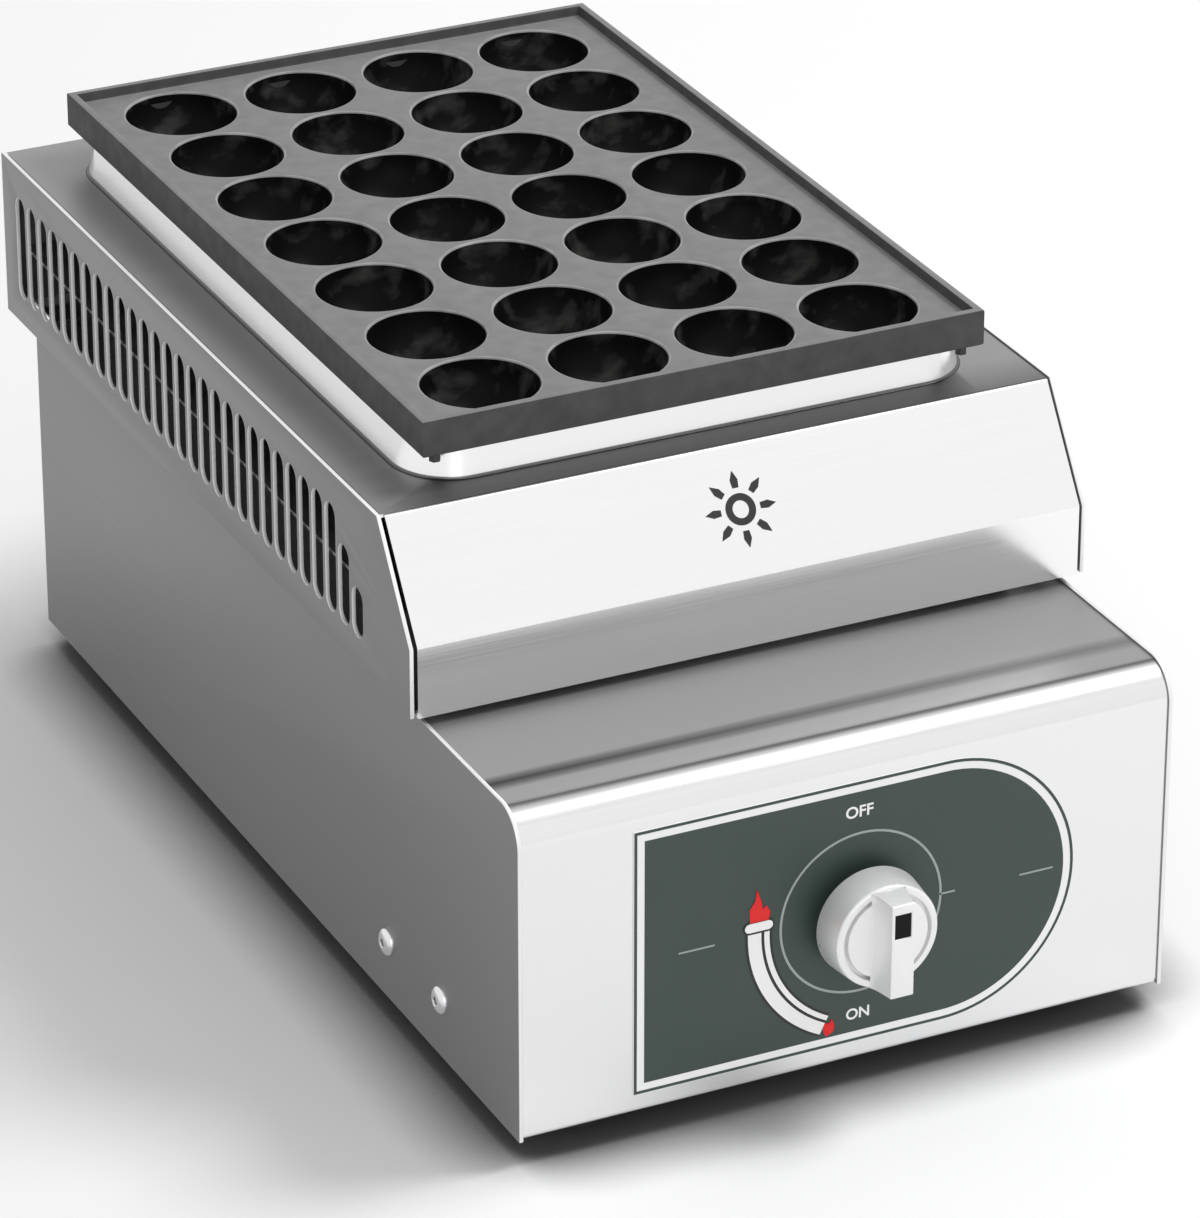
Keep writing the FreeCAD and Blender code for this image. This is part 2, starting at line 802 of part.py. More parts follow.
def make_burner(name, side):
    body = new_body(name)
    profile = plan_sketch(body, "burner_z")
    x = f"{side} * burner_x"
    turning_axis(profile, (x, "burner_front_y"), (x, "burner_rear_y"))
    polygon(profile, [
        (f"{x} + throat_radius", "burner_front_y"),
        (f"{x} + throat_radius", "box_front_y - throat_end"),
        (f"{x} + burner_radius", "box_front_y - throat_end"),
        (f"{x} + burner_radius", "burner_rear_y"),
        (x, "burner_rear_y"),
        (x, "burner_front_y"),
    ])
    turn(body, profile)
    port = plan_sketch(body, "burner_z + burner_radius")
    rectangle(port, f"{x} - port_length / 2", "ports_y", f"{x} + port_length / 2", "ports_y + port_width")
    first = pocket(body, port, "burner_radius - sqrt(burner_radius ^ 2 - port_length ^ 2 / 4) + port_depth")
    repeat(body, first, "Y_Axis", "port_pitch", "port_count")


def make_burner_bracket():
    body = new_body("burner_bracket")
    wall = front_sketch(body, "burner_rear_y - flange_width")
    rectangle(wall, "-bracket_width / 2", "box_floor_z + sheet", "bracket_width / 2", "burner_z - burner_radius")
    pad(body, wall, "bracket_sheet")
    foot = plan_sketch(body, "box_floor_z + sheet")
    rectangle(foot, "-bracket_width / 2", "burner_rear_y - flange_width", "bracket_width / 2", "burner_rear_y")
    pad(body, foot, "bracket_sheet")


# Gas train

def make_manifold():
    bar = block("manifold_bar", "burner_spacing + 3 * manifold_radius", "2 * manifold_radius", "2 * manifold_radius",
                ("-burner_x - 1.5 * manifold_radius", "manifold_y - manifold_radius", "burner_z - manifold_radius"))
    outlet_z = "knob_z + valve_width / 2"
    nipple = hexagon("manifold_nipple", "manifold_radius - 1", f"burner_z - manifold_radius - ({outlet_z})",
                     ("knob_offset", "manifold_y", outlet_z))
    keep("jet_manifold", fuse("jet_manifold", bar, nipple))


def make_jets():
    jets = []
    for name, side in SIDES:
        x = f"{side} * burner_x"
        seat = "manifold_y + manifold_radius"
        nut = hexagon(f"{name}_jet_hex", "jet_radius + 1", "jet_length / 2", (x, seat, "burner_z"), "y")
        tip = hexagon(f"{name}_jet_tip", "jet_radius - 1.5", "jet_length / 2",
                       (x, f"{seat} + jet_length / 2", "burner_z"), "y")
        jets.append(fuse(f"{name}_jet", nut, tip))
    group("gas_jets", *jets)


def make_valve():
    body = block("valve_body", "valve_width", "valve_length", "valve_width",
                 ("knob_offset - valve_width / 2", "valve_front_y", "knob_z - valve_width / 2"))
    inlet = hexagon("valve_inlet", "pipe_nut_radius - 1", "valve_inlet_reach",
                    ("knob_offset + valve_width / 2", "pipe_y", "knob_z"), "x")
    bore = cylinder("valve_bore", "plug_radius + run_clearance", "valve_length - bonnet_wall - end_wall",
                    ("knob_offset", "bore_front_y", "knob_z"), "y")
    neck = cylinder("valve_neck", "spindle_radius + run_clearance", "bonnet_wall + 2",
                    ("knob_offset", "valve_front_y - 1", "knob_z"), "y")
    keep("gas_valve", cut("gas_valve", fuse("valve_block", body, inlet), bore, neck))


def make_plug():
    at = ("knob_offset", "plug_front_y", "knob_z")
    body = cylinder("plug_body", "plug_radius", "plug_length", at, "y")
    round_hole = cylinder("socket_round", "spindle_tip_radius + run_clearance", "socket_depth + push_travel", at, "y")
    flat = block("socket_flat", "2 * plug_radius", "socket_depth + push_travel", "plug_radius",
                 ("knob_offset - plug_radius", "plug_front_y", "knob_z + spindle_flat + run_clearance"))
    keep("valve_plug", cut("valve_plug", body, cut("plug_socket", round_hole, flat)))


def make_spindle():
    at = ("knob_offset", "knob_face_y + knob_wall + end_gap", "knob_z")
    shaft = cylinder("spindle_shaft", "spindle_radius", "collar_y - knob_face_y - knob_wall - end_gap", at, "y")
    collar = hexagon("spindle_collar", "collar_radius", "collar_length", ("knob_offset", "collar_y", "knob_z"), "y")
    reach = "plug_front_y - collar_y + socket_depth - 2"
    rod = cylinder("spindle_rod", "spindle_tip_radius", reach, ("knob_offset", "collar_y", "knob_z"), "y")
    flat = block("spindle_flat_cut", "2 * plug_radius", reach, "plug_radius",
                 ("knob_offset - plug_radius", "collar_y + collar_length", "knob_z + spindle_flat"))
    keep("valve_spindle", fuse("valve_spindle", shaft, collar, cut("spindle_tip", rod, flat)))


def make_valve_bracket():
    body = new_body("valve_bracket")
    start, end = "valve_rear_y", "valve_rear_y + bracket_depth"
    floor = plan_sketch(body, "bracket_z")
    rectangle(floor, "-side_inner_x", start, "side_inner_x", end)
    pad(body, floor, "bracket_sheet")
    for side in (-1, 1):
        ear = side_sketch(body, "-side_inner_x" if side < 0 else "side_inner_x - bracket_sheet")
        rectangle(ear, start, "bracket_z", end, "bracket_z + bracket_flange")
        pad(body, ear, "bracket_sheet")
    upright = front_sketch(body, "valve_rear_y + bracket_sheet")
    rectangle(upright, "knob_offset - bracket_upright / 2", "bracket_z", "knob_offset + bracket_upright / 2",
              "knob_z + valve_width / 2 + 6")
    pad(body, upright, "bracket_sheet")


def make_feed_pipe():
    start_x, end_y = "knob_offset + valve_width / 2 + valve_inlet_reach", "back_inner_y - locknut_width"
    across = hexagon("pipe_across", "pipe_radius", f"inlet_offset - ({start_x})", (start_x, "pipe_y", "knob_z"), "x")
    along = hexagon("pipe_along", "pipe_radius", f"{end_y} - pipe_y", ("inlet_offset", "pipe_y", "knob_z"), "y")
    half = "pipe_radius * 1.7"
    elbow = block("pipe_elbow", f"2 * {half}", f"2 * {half}", f"2 * {half}",
                  (f"inlet_offset - {half}", f"pipe_y - {half}", f"knob_z - {half}"))
    thread = cylinder("inlet_thread", "thread_radius", "locknut_width + sheet", ("inlet_offset", end_y, "knob_z"), "y")
    collar = hexagon("inlet_collar", "inlet_hex_radius", "inlet_collar", ("inlet_offset", "body_rear_y", "knob_z"), "y")
    tail = cylinder("hose_tail", "tail_radius", "inlet_reach - inlet_collar",
                    ("inlet_offset", "body_rear_y + inlet_collar", "knob_z"), "y")
    bore = hexagon("hose_tail_bore", "inlet_bore", "inlet_reach - 2", ("inlet_offset", "body_rear_y + 2", "knob_z"), "y")
    solid = fuse("pipe_and_tail", across, along, elbow, thread, collar, tail)
    keep("feed_pipe", cut("feed_pipe", solid, bore))


def make_pipe_nuts():
    start_x, rear_y = "knob_offset + valve_width / 2 + valve_inlet_reach", "back_inner_y - locknut_width"
    places_and_sizes = (
        ((start_x, "pipe_y", "knob_z"), "x", "pipe_nut_radius", "pipe_radius", "pipe_nut_length"),
        (("inlet_offset", f"{rear_y} - pipe_nut_length", "knob_z"), "y", "pipe_nut_radius", "pipe_radius",
         "pipe_nut_length"),
        (("inlet_offset", rear_y, "knob_z"), "y", "inlet_hex_radius", "thread_radius", "locknut_width"),
    )
    nuts = []
    for at, axis, across, hole, length in places_and_sizes:
        nut = hexagon("nut_hex", across, length, at, axis)
        make_hole = cylinder if hole == "thread_radius" else hexagon
        nuts.append(cut("nut", nut, make_hole("nut_hole", hole, length, at, axis)))
    group("pipe_nuts", *nuts)


# Spark ignition

def make_igniter():
    x = "knob_offset - valve_width / 2 - igniter_width"
    keep("piezo_igniter", block("piezo_igniter", "igniter_width", "igniter_length", "igniter_height",
                                (x, "valve_rear_y - igniter_length", "knob_z - igniter_height / 2")))


def make_lead():
    start_x, y = "knob_offset - valve_width / 2 - igniter_width", "valve_rear_y - igniter_length / 2"
    top = "box_floor_z - lead_drop"
    across = hexagon("lead_across", "lead_radius", f"electrode_x + ({start_x})", ("-electrode_x", y, "knob_z"), "x")
    along = hexagon("lead_along", "lead_radius", f"electrode_y - ({y})", ("-electrode_x", y, "knob_z"), "y")
    rise = hexagon("lead_rise", "lead_radius", f"{top} - knob_z", ("-electrode_x", "electrode_y", "knob_z"))
    corners = []
    for place in (y, "electrode_y"):
        corners.append(block("lead_corner", "2 * lead_radius", "2 * lead_radius", "2 * lead_radius",
                             ("-electrode_x - lead_radius", f"{place} - lead_radius", "knob_z - lead_radius")))
    keep("ignition_lead", fuse("ignition_lead", across, along, rise, *corners))


def make_electrode():
    x, z = "-electrode_x", "box_floor_z - lead_drop"
    ceramic = flats("spark_ceramic", 8, "ceramic_radius", "ceramic_length", (x, "electrode_y", z))
    top = f"{z} + ceramic_length"
    rod = block("spark_rod", "2 * spark_radius", "2 * spark_radius", "rod_rise",
                (f"{x} - spark_radius", "electrode_y - spark_radius", top))
    tip = block("spark_tip", "electrode_x - burner_x - burner_radius + 4", "2 * spark_radius", "2 * spark_radius",
                (f"{x} - spark_radius", "electrode_y - spark_radius", f"{top} + rod_rise - 2 * spark_radius"))
    flange = block("spark_flange", "4 * ceramic_radius", "4 * ceramic_radius", "2 * sheet",
                   (f"{x} - 2 * ceramic_radius", "electrode_y - 2 * ceramic_radius", "box_floor_z + sheet"))
    keep("spark_electrode", fuse("spark_electrode", ceramic, rod, tip, flange))


# Knob

def make_knob():
    body = new_body("knob")
    profile = plan_sketch(body, "knob_z")
    x = "knob_offset"
    turning_axis(profile, (x, "knob_face_y"), (x, "knob_back_y"))
    polygon(profile, [
        (x, "knob_face_y"),
        (f"{x} + knob_radius", "knob_face_y"),
        (f"{x} + knob_radius", "knob_back_y"),
        (f"{x} + spindle_radius", "knob_back_y"),
        (f"{x} + spindle_radius", "knob_face_y + knob_wall + end_gap"),
        (x, "knob_face_y + knob_wall + end_gap"),
    ])
    turn(body, profile)
    bar = plan_sketch(body, "knob_z")
    polygon(bar, [
        ("knob_offset - grip_base_width / 2", "knob_face_y"),
        ("knob_offset - grip_width / 2", "grip_y"),
        ("knob_offset + grip_width / 2", "grip_y"),
        ("knob_offset + grip_base_width / 2", "knob_face_y"),
    ])
    pad(body, bar, "grip_length", midplane=True)
    high, low = "knob_z + grip_length / 2", "knob_z - grip_length / 2"
    chamfer(body, "grip_chamfer", edge_at(y="grip_y", z=high), edge_at(y="grip_y", z=low))
    window = front_sketch(body, "grip_y")
    centre = "knob_z + marker_rise"
    rectangle(window, "knob_offset - marker_width / 2", f"{centre} - marker_height / 2",
              "knob_offset + marker_width / 2", f"{centre} + marker_height / 2")
    pocket(body, window, "marker_depth")
    marker = block("knob_marker", "marker_width", "marker_depth / 2", "marker_height",
                   ("knob_offset - marker_width / 2", "grip_y + marker_depth / 2", f"{centre} - marker_height / 2"))
    keep("knob_marker", marker)


# Feet

def make_feet():
    feet = []
    for x in ("-(body_width / 2 - foot_inset_x)", "body_width / 2 - foot_inset_x"):
        for y in ("front_y + foot_inset_y", "body_rear_y - foot_inset_y"):
            feet.append(flats("foot", 12, "foot_radius", "foot_height + sheet", (x, y, "0")))
    group("rubber_feet", *feet)


# Pan

def ball(radius, turns, across, along):
    # the lower half of a ball in flats: level rings of corners, joined band by band
    count, top = int(value("cup_sides")), value("pan_surface_z")
    rings = []
    for turn_down in turns:
        slope = math.radians(turn_down)
        wide, z = radius * math.cos(slope), top - radius * math.sin(slope)
        spread = [math.radians((i + 0.5) * 360 / count) for i in range(count)]
        rings.append([Vector(across + wide * math.cos(a), along + wide * math.sin(a), z) for a in spread])
    outlines = [rings[0], rings[-1]]
    for upper, lower in zip(rings, rings[1:]):
        for i in range(count):
            after = (i + 1) % count
            outlines.append([upper[i], upper[after], lower[after], lower[i]])
    faces = [Part.Face(Part.makePolygon(corners + corners[:1])) for corners in outlines]
    solid = Part.Solid(Part.makeShell(faces))
    if solid.Volume < 0:
        solid.reverse()
    return solid


def balls(name, radius, turns):
    shapes = []
    for column in range(int(value("cup_columns"))):
        for row in range(int(value("cup_rows"))):
            x = value("cup_first_x") + column * value("cup_pitch_x")
            y = value("cup_first_y") + row * value("cup_pitch_y")
            shapes.append(ball(value(radius), turns, x, y))
    made = doc.addObject("Part::Feature", name)
    made.Shape = shapes[0].multiFuse(shapes[1:])
    return made


def make_pan():
    body = doc.addObject("PartDesign::Body", "pan_plate")
    across, front, rear = "pan_width / 2", "pan_y - pan_depth / 2", "pan_y + pan_depth / 2"
    slab = plan_sketch(body, "pan_foot_z")
    rounded_rectangle(slab, f"-({across})", front, across, rear, "pan_corner")
    pad(body, slab, "rim_drop + rim_rise")
    recess = plan_sketch(body, "pan_surface_z + rim_rise")
    rectangle(recess, f"-({across}) + rim_wall", f"{front} + rim_wall", f"{across} - rim_wall", f"{rear} - rim_wall")
    pocket(body, recess, "rim_rise")
    under = plan_sketch(body, "pan_foot_z")
    rectangle(under, f"-({across}) + pan_border", f"{front} + pan_border", f"{across} - pan_border",
              f"{rear} - pan_border")
    pocket(body, under, "rim_drop - pan_plate", flip=True)
    bosses = balls("cup_bosses", "cup_radius + cup_wall", (0, 40, 80))
    hollows = balls("cup_hollows", "cup_radius", (0, 26, 52, 78))
    keep("pan", cut("pan", fuse("pan_casting", body, bosses), hollows))
    pegs = []
    for x in (f"-({across}) + peg_inset_x", f"{across} - peg_inset_x"):
        for y in (f"{front} + peg_inset_y", f"{rear} - peg_inset_y"):
            pegs.append(hexagon("peg", "peg_radius", "peg_length", (x, y, "pan_foot_z - peg_length")))
    group("pan_pegs", *pegs)


for name, side in SIDES:
    make_side_panel(f"{name}_side_panel", side)
    make_hood_side(f"hood_{name}_side", side)
    make_rail(f"{name}_rail", side)
    make_burner(f"{name}_burner", side)
make_front_panel()
make_control_plate()
make_back_panel()
make_base_plate()
make_hood_top()
make_hood_back()
make_burner_box()
make_burner_bracket()
make_manifold()
make_jets()
make_valve()
make_plug()
make_spindle()
make_valve_bracket()
make_feed_pipe()
make_pipe_nuts()
make_igniter()
make_lead()
make_electrode()
make_knob()
make_feet()
make_pan()

doc.recompute()
for thing in doc.Objects:
    if "Invalid" in thing.State or "Error" in thing.State:
        raise RuntimeError(f"{thing.Label} failed: {thing.State}")
for name, thing in nodes.items():
    if thing.Shape.isNull() or not thing.Shape.isValid():
        raise RuntimeError(f"{name} has no valid shape")

os.makedirs("parts", exist_ok=True)
for name, thing in nodes.items():
    thing.Shape.exportStep(f"parts/{name}.step")
print(f"{len(nodes)} pieces written")
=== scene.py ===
from math import asin, atan2, cos, degrees, pi, radians, sin, tan

import bmesh
import bpy
from mathutils import Euler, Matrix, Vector
from mathutils.geometry import tessellate_polygon


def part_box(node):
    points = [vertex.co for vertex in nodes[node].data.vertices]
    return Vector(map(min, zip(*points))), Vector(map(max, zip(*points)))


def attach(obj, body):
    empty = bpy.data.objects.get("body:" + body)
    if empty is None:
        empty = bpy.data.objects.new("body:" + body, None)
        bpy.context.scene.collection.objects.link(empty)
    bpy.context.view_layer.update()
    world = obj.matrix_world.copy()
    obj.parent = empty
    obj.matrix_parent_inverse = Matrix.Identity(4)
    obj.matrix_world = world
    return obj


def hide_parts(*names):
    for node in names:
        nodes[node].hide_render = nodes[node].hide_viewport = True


# Looks of the gas takoyaki maker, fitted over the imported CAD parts. Lengths in the dictionaries are millimetres.
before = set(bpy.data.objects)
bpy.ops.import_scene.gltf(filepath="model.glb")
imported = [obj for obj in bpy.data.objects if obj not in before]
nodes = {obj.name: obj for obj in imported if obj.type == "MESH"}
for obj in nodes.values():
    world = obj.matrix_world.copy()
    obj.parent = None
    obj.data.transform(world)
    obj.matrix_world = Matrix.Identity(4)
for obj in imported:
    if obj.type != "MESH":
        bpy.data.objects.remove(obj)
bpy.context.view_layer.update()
mm = 0.001
print("frame loaded:", len(nodes), "parts")


# Shared places, read from the CAD parts
def boxOf(name):
    low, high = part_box(name)
    return [v / mm for v in low], [v / mm for v in high]


panelLow, panelHigh = boxOf("front_panel")
sideLow, sideHigh = boxOf("left_side_panel")
farSideLow, farSideHigh = boxOf("right_side_panel")
hoodLow, hoodHigh = boxOf("hood_left_side")
farHoodLow, farHoodHigh = boxOf("hood_right_side")
coverHigh = boxOf("hood_top")[1]
panLow, panHigh = boxOf("pan")
knobLow, knobHigh = boxOf("knob")
markerLow, markerHigh = boxOf("knob_marker")
plateLow, plateHigh = boxOf("control_plate")
feetLow, feetHigh = boxOf("rubber_feet")
knobX = (knobLow[0] + knobHigh[0]) / 2
knobZ = (knobLow[2] + knobHigh[2]) / 2
frontY = sideLow[1]


# Mesh work
def meshOf(name, points, faces, weld=False):
    mesh = bpy.data.meshes.new(name)
    mesh.from_pydata([(x * mm, y * mm, z * mm) for x, y, z in points], [], faces)
    work = bmesh.new()
    work.from_mesh(mesh)
    if weld:
        bmesh.ops.remove_doubles(work, verts=work.verts, dist=1e-6)
    bmesh.ops.recalc_face_normals(work, faces=work.faces)
    work.to_mesh(mesh)
    work.free()
    return mesh


def newPiece(name, points, faces, material, body="grill", smoothAngle=30):
    mesh = meshOf(name, points, faces, weld=True)
    mesh.shade_smooth()
    mesh.set_sharp_from_angle(angle=radians(smoothAngle))
    mesh.materials.append(material)
    piece = bpy.data.objects.new(name, mesh)
    bpy.context.scene.collection.objects.link(piece)
    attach(piece, body)
    return piece


def newTool(name, points, faces):
    # a form that only cuts another one
    tool = bpy.data.objects.new(name, meshOf(name, points, faces))
    bpy.context.scene.collection.objects.link(tool)
    return tool


def sharpen(piece, angle):
    piece.data.set_sharp_from_angle(angle=radians(angle))


def applyModifiers(piece):
    bpy.context.view_layer.update()
    graph = bpy.context.evaluated_depsgraph_get()
    made = bpy.data.meshes.new_from_object(piece.evaluated_get(graph))
    piece.modifiers.clear()
    piece.data = made


def bevel(piece, width, segments=2, angle=40):
    step = piece.modifiers.new("bevel", "BEVEL")
    step.width = width * mm
    step.segments = segments
    step.limit_method = "ANGLE"
    step.angle_limit = radians(angle)
    applyModifiers(piece)


def cutWith(piece, cutter):
    step = piece.modifiers.new("cut", "BOOLEAN")
    step.operation = "DIFFERENCE"
    step.solver = "EXACT"
    step.object = cutter
    applyModifiers(piece)
    bpy.data.objects.remove(cutter)


def paintedDarkening(piece, tone):
    # how much painted shade and painted reflection darken the sheet at each of its points, 0 to 1
    marks = piece.data.attributes.new("paintedDarkening", "FLOAT", "POINT")
    place = piece.matrix_world
    for i, vertex in enumerate(piece.data.vertices):
        x, y, z = place @ vertex.co / mm
        marks.data[i].value = tone(x, y, z)


def placed(a, b, along, axis):
    # a and b lie in the plane square to the axis, in X, Y, Z order
    return {"x": (along, a, b), "y": (a, along, b), "z": (a, b, along)}[axis]


def ladder(one, two):
    # the band of faces between two closed loops of as many points
    count = len(one)
    return [[one[i], one[(i + 1) % count], two[(i + 1) % count], two[i]] for i in range(count)]


def stacked(loops):
    # closed loops of as many points each, joined one to the next
    count = len(loops[0])
    rows = [range(k * count, (k + 1) * count) for k in range(len(loops))]
    faces = [face for one, two in zip(rows, rows[1:]) for face in ladder(one, two)]
    return [point for loop in loops for point in loop], faces


def capped(loops):
    points, faces = stacked(loops)
    count, total = len(loops[0]), len(points)
    return points, [list(range(count)), list(range(total - count, total))[::-1]] + faces


def prism(outline, low, high, axis):
    # a closed outline carried along one axis
    return capped([[placed(a, b, along, axis) for a, b in outline] for along in (low, high)])


def boxForm(low, high):
    (x0, y0, z0), (x1, y1, z1) = low, high
    return prism([(x0, y0), (x1, y0), (x1, y1), (x0, y1)], z0, z1, "z")


def joined(*forms):
    points, faces = [], []
    for formPoints, formFaces in forms:
        start = len(points)
        points += formPoints
        faces += [[i + start for i in face] for face in formFaces]
    return points, faces


def holedPlate(outline, holes, low, high, axis):
    # a flat sheet with any number of holes, between two levels of one axis
    loops = [outline] + holes
    flat = [p for loop in loops for p in loop]
    triangles = tessellate_polygon([[Vector((a, b, 0)) for a, b in loop] for loop in loops])
    count = len(flat)
    points = [placed(a, b, along, axis) for along in (low, high) for a, b in flat]
    faces = [list(t) for t in triangles] + [[i + count for i in t][::-1] for t in triangles]
    start = 0
    for loop in loops:
        end = start + len(loop)
        faces += ladder(range(start, end), range(start + count, end + count))
        start = end
    return points, faces


def lathe(profile, centre, axis, steps=64):
    # profile: (radius, place along the axis); ends at radius 0 close the form
    rings, points, faces = [], [], []
    for radius, along in profile:
        count = 1 if radius < 1e-6 else steps
        rings.append(range(len(points), len(points) + count))
        for i in range(count):
            turn = 2 * pi * i / steps
            points.append(placed(centre[0] + radius * cos(turn), centre[1] + radius * sin(turn), along, axis))
    for one, two in zip(rings, rings[1:]):
        for i in range(steps):
            after = (i + 1) % steps
            corners = [one[i % len(one)], one[after % len(one)], two[after % len(two)], two[i % len(two)]]
            face = list(dict.fromkeys(corners))
            if len(face) > 2:
                faces.append(face)
    return points, faces


def arcPoints(cx, cy, radius, start, end, steps):
    return [(cx + radius * cos(radians(start + (end - start) * i / steps)),
             cy + radius * sin(radians(start + (end - start) * i / steps))) for i in range(steps + 1)]


def roundedLoop(x0, x1, y0, y1, radius, steps=12):
    loop = []
    for cx, cy, start in ((x1 - radius, y1 - radius, 0), (x0 + radius, y1 - radius, 90),
                          (x0 + radius, y0 + radius, 180), (x1 - radius, y0 + radius, 270)):
        loop += arcPoints(cx, cy, radius, start, start + 90, steps)
    return loop


# Materials
def nodeMaterial(name):
    made = bpy.data.materials.new(name)
    made.use_nodes = True
    tree = made.node_tree
    return made, tree, tree.nodes["Principled BSDF"]


def link(tree, source, target):
    # the source is another node's socket or a plain value
    if isinstance(source, bpy.types.NodeSocket):
        tree.links.new(source, target)
    else:
        target.default_value = source


def mathNode(tree, operation, *values):
    made = tree.nodes.new("ShaderNodeMath")
    made.operation = operation
    for value, socket in zip(values, made.inputs):
        link(tree, value, socket)
    return made.outputs["Value"]


def mixed(tree, factor, first, second, blend="MIX"):
    made = tree.nodes.new("ShaderNodeMix")
    made.data_type = "RGBA"
    made.blend_type = blend
    for value, socket in ((factor, "Factor"), (first, "A"), (second, "B")):
        link(tree, value, made.inputs[socket])
    return made.outputs["Result"]


def blendColours(tree, factor, dark, light):
    return mixed(tree, factor, (*dark, 1), (*light, 1))


def darkened(tree, colour, factor):
    return mixed(tree, 1.0, colour, factor, "MULTIPLY")


def objectSpace(tree, scale=(1, 1, 1)):
    place = tree.nodes.new("ShaderNodeTexCoord")
    stretch = tree.nodes.new("ShaderNodeMapping")
    stretch.inputs["Scale"].default_value = scale
    link(tree, place.outputs["Object"], stretch.inputs["Vector"])
    return stretch.outputs["Vector"]


def noise(tree, vector, scale, detail):
    made = tree.nodes.new("ShaderNodeTexNoise")
    made.inputs["Scale"].default_value = scale
    made.inputs["Detail"].default_value = detail
    link(tree, vector, made.inputs["Vector"])
    return made.outputs["Fac"]


def spread(tree, source, low, high, fromLow=0.3, fromHigh=0.7):
    made = tree.nodes.new("ShaderNodeMapRange")
    made.inputs["From Min"].default_value = fromLow
    made.inputs["From Max"].default_value = fromHigh
    made.inputs["To Min"].default_value = low
    made.inputs["To Max"].default_value = high
    link(tree, source, made.inputs["Value"])
    return made.outputs["Result"]


def bump(tree, height, shader, distance, strength):
    made = tree.nodes.new("ShaderNodeBump")
    made.inputs["Distance"].default_value = distance * mm
    made.inputs["Strength"].default_value = strength
    link(tree, height, made.inputs["Height"])
    link(tree, made.outputs["Normal"], shader.inputs["Normal"])


def markedPart(tree, name):
    mark = tree.nodes.new("ShaderNodeAttribute")
    mark.attribute_name = name
    return mark.outputs["Fac"]


def grey(level):
    return (level, level, level * 1.005)


# What all the sheets share: the grain, how squarely a sheet counts as flat, and where the painted dark reflection at
# the start of a bend is darkest
sheetLook = {
    "grain": 3.0, "clouds": (9, 9, 9), "cloudShare": 0.35, "grainShare": 0.65, "flat": (0.62, 0.97),
    "bendReflectionStart": 0.950, "bendReflectionDeep": 0.984, "bendReflectionEnd": 0.9985, "roughSwing": (-0.03, 0.04), "bump": (0.006, 0.12),
}

# The flat of a sheet, which faces the axis named here, takes the face values, and its bends and edges take the others.
# These levels are painted light: each sheet is a lit and shaded copy of one steel, its flat darkened as painted shade
# and its bends and edges kept bright as a painted highlight
# crease is how dark the painted reflection at the start of a bend gets, 1.0 for none
steelLooks = {
    "front": {"level": 0.81, "edgeMetal": 1.0, "rough": 0.20,
              "face": "Z", "paintedFaceShade": 0.31, "faceMetal": 0.45, "faceRough": 0.42,
              "crease": 0.25, "swing": 0.008, "along": (6, 400, 900)},
    "side": {"level": 0.86, "edgeMetal": 0.5, "rough": 0.34,
             "face": "X", "paintedFaceShade": 0.215, "faceMetal": 0.4, "faceRough": 0.42,
             "crease": 1.0, "swing": 0.006, "along": (400, 6, 900)},
    "hood": {"level": 0.88, "edgeMetal": 1.0, "rough": 0.20,
             "face": "Z", "paintedFaceShade": 0.285, "faceMetal": 0.55, "faceRough": 0.36,
             "crease": 0.25, "swing": 0.008, "along": (6, 400, 900)},
    "hoodSide": {"level": 0.94, "edgeMetal": 0.15, "rough": 0.32,
                 "face": "X", "paintedFaceShade": 0.225, "faceMetal": 0.3, "faceRough": 0.42,
                 "crease": 1.0, "swing": 0.006, "along": (400, 6, 900)},
    "back": {"level": 0.80, "edgeMetal": 0.5, "rough": 0.34,
             "face": "Y", "paintedFaceShade": 0.24, "faceMetal": 0.5, "faceRough": 0.40,
             "crease": 1.0, "swing": 0.008, "along": (6, 400, 900)},
    "inner": {"level": 0.20, "edgeMetal": 1.0, "rough": 0.42,
              "face": "Z", "paintedFaceShade": 0.18, "faceMetal": 1.0, "faceRough": 0.42,
              "crease": 1.0, "swing": 0.03, "along": (60, 60, 60)},
}


def turnedTo(tree, axis):
    # how squarely the sheet faces an axis, 0 to 1
    place = tree.nodes.new("ShaderNodeNewGeometry")
    split = tree.nodes.new("ShaderNodeSeparateXYZ")
    link(tree, place.outputs["Normal"], split.inputs["Vector"])
    return mathNode(tree, "ABSOLUTE", split.outputs[axis])


def paintedBendReflection(tree, square, depth):
    # painted reflection: the sheet is darkest where a bend begins, as if a dark thing were reflected there
    made = tree.nodes.new("ShaderNodeValToRGB")
    ramp = made.color_ramp.elements
    ramp[0].position, ramp[1].position = sheetLook["bendReflectionStart"], sheetLook["bendReflectionEnd"]
    ramp[0].color = ramp[1].color = (1, 1, 1, 1)
    ramp.new(sheetLook["bendReflectionDeep"]).color = (*grey(depth), 1)
    link(tree, square, made.inputs["Fac"])
    return made.outputs["Color"]


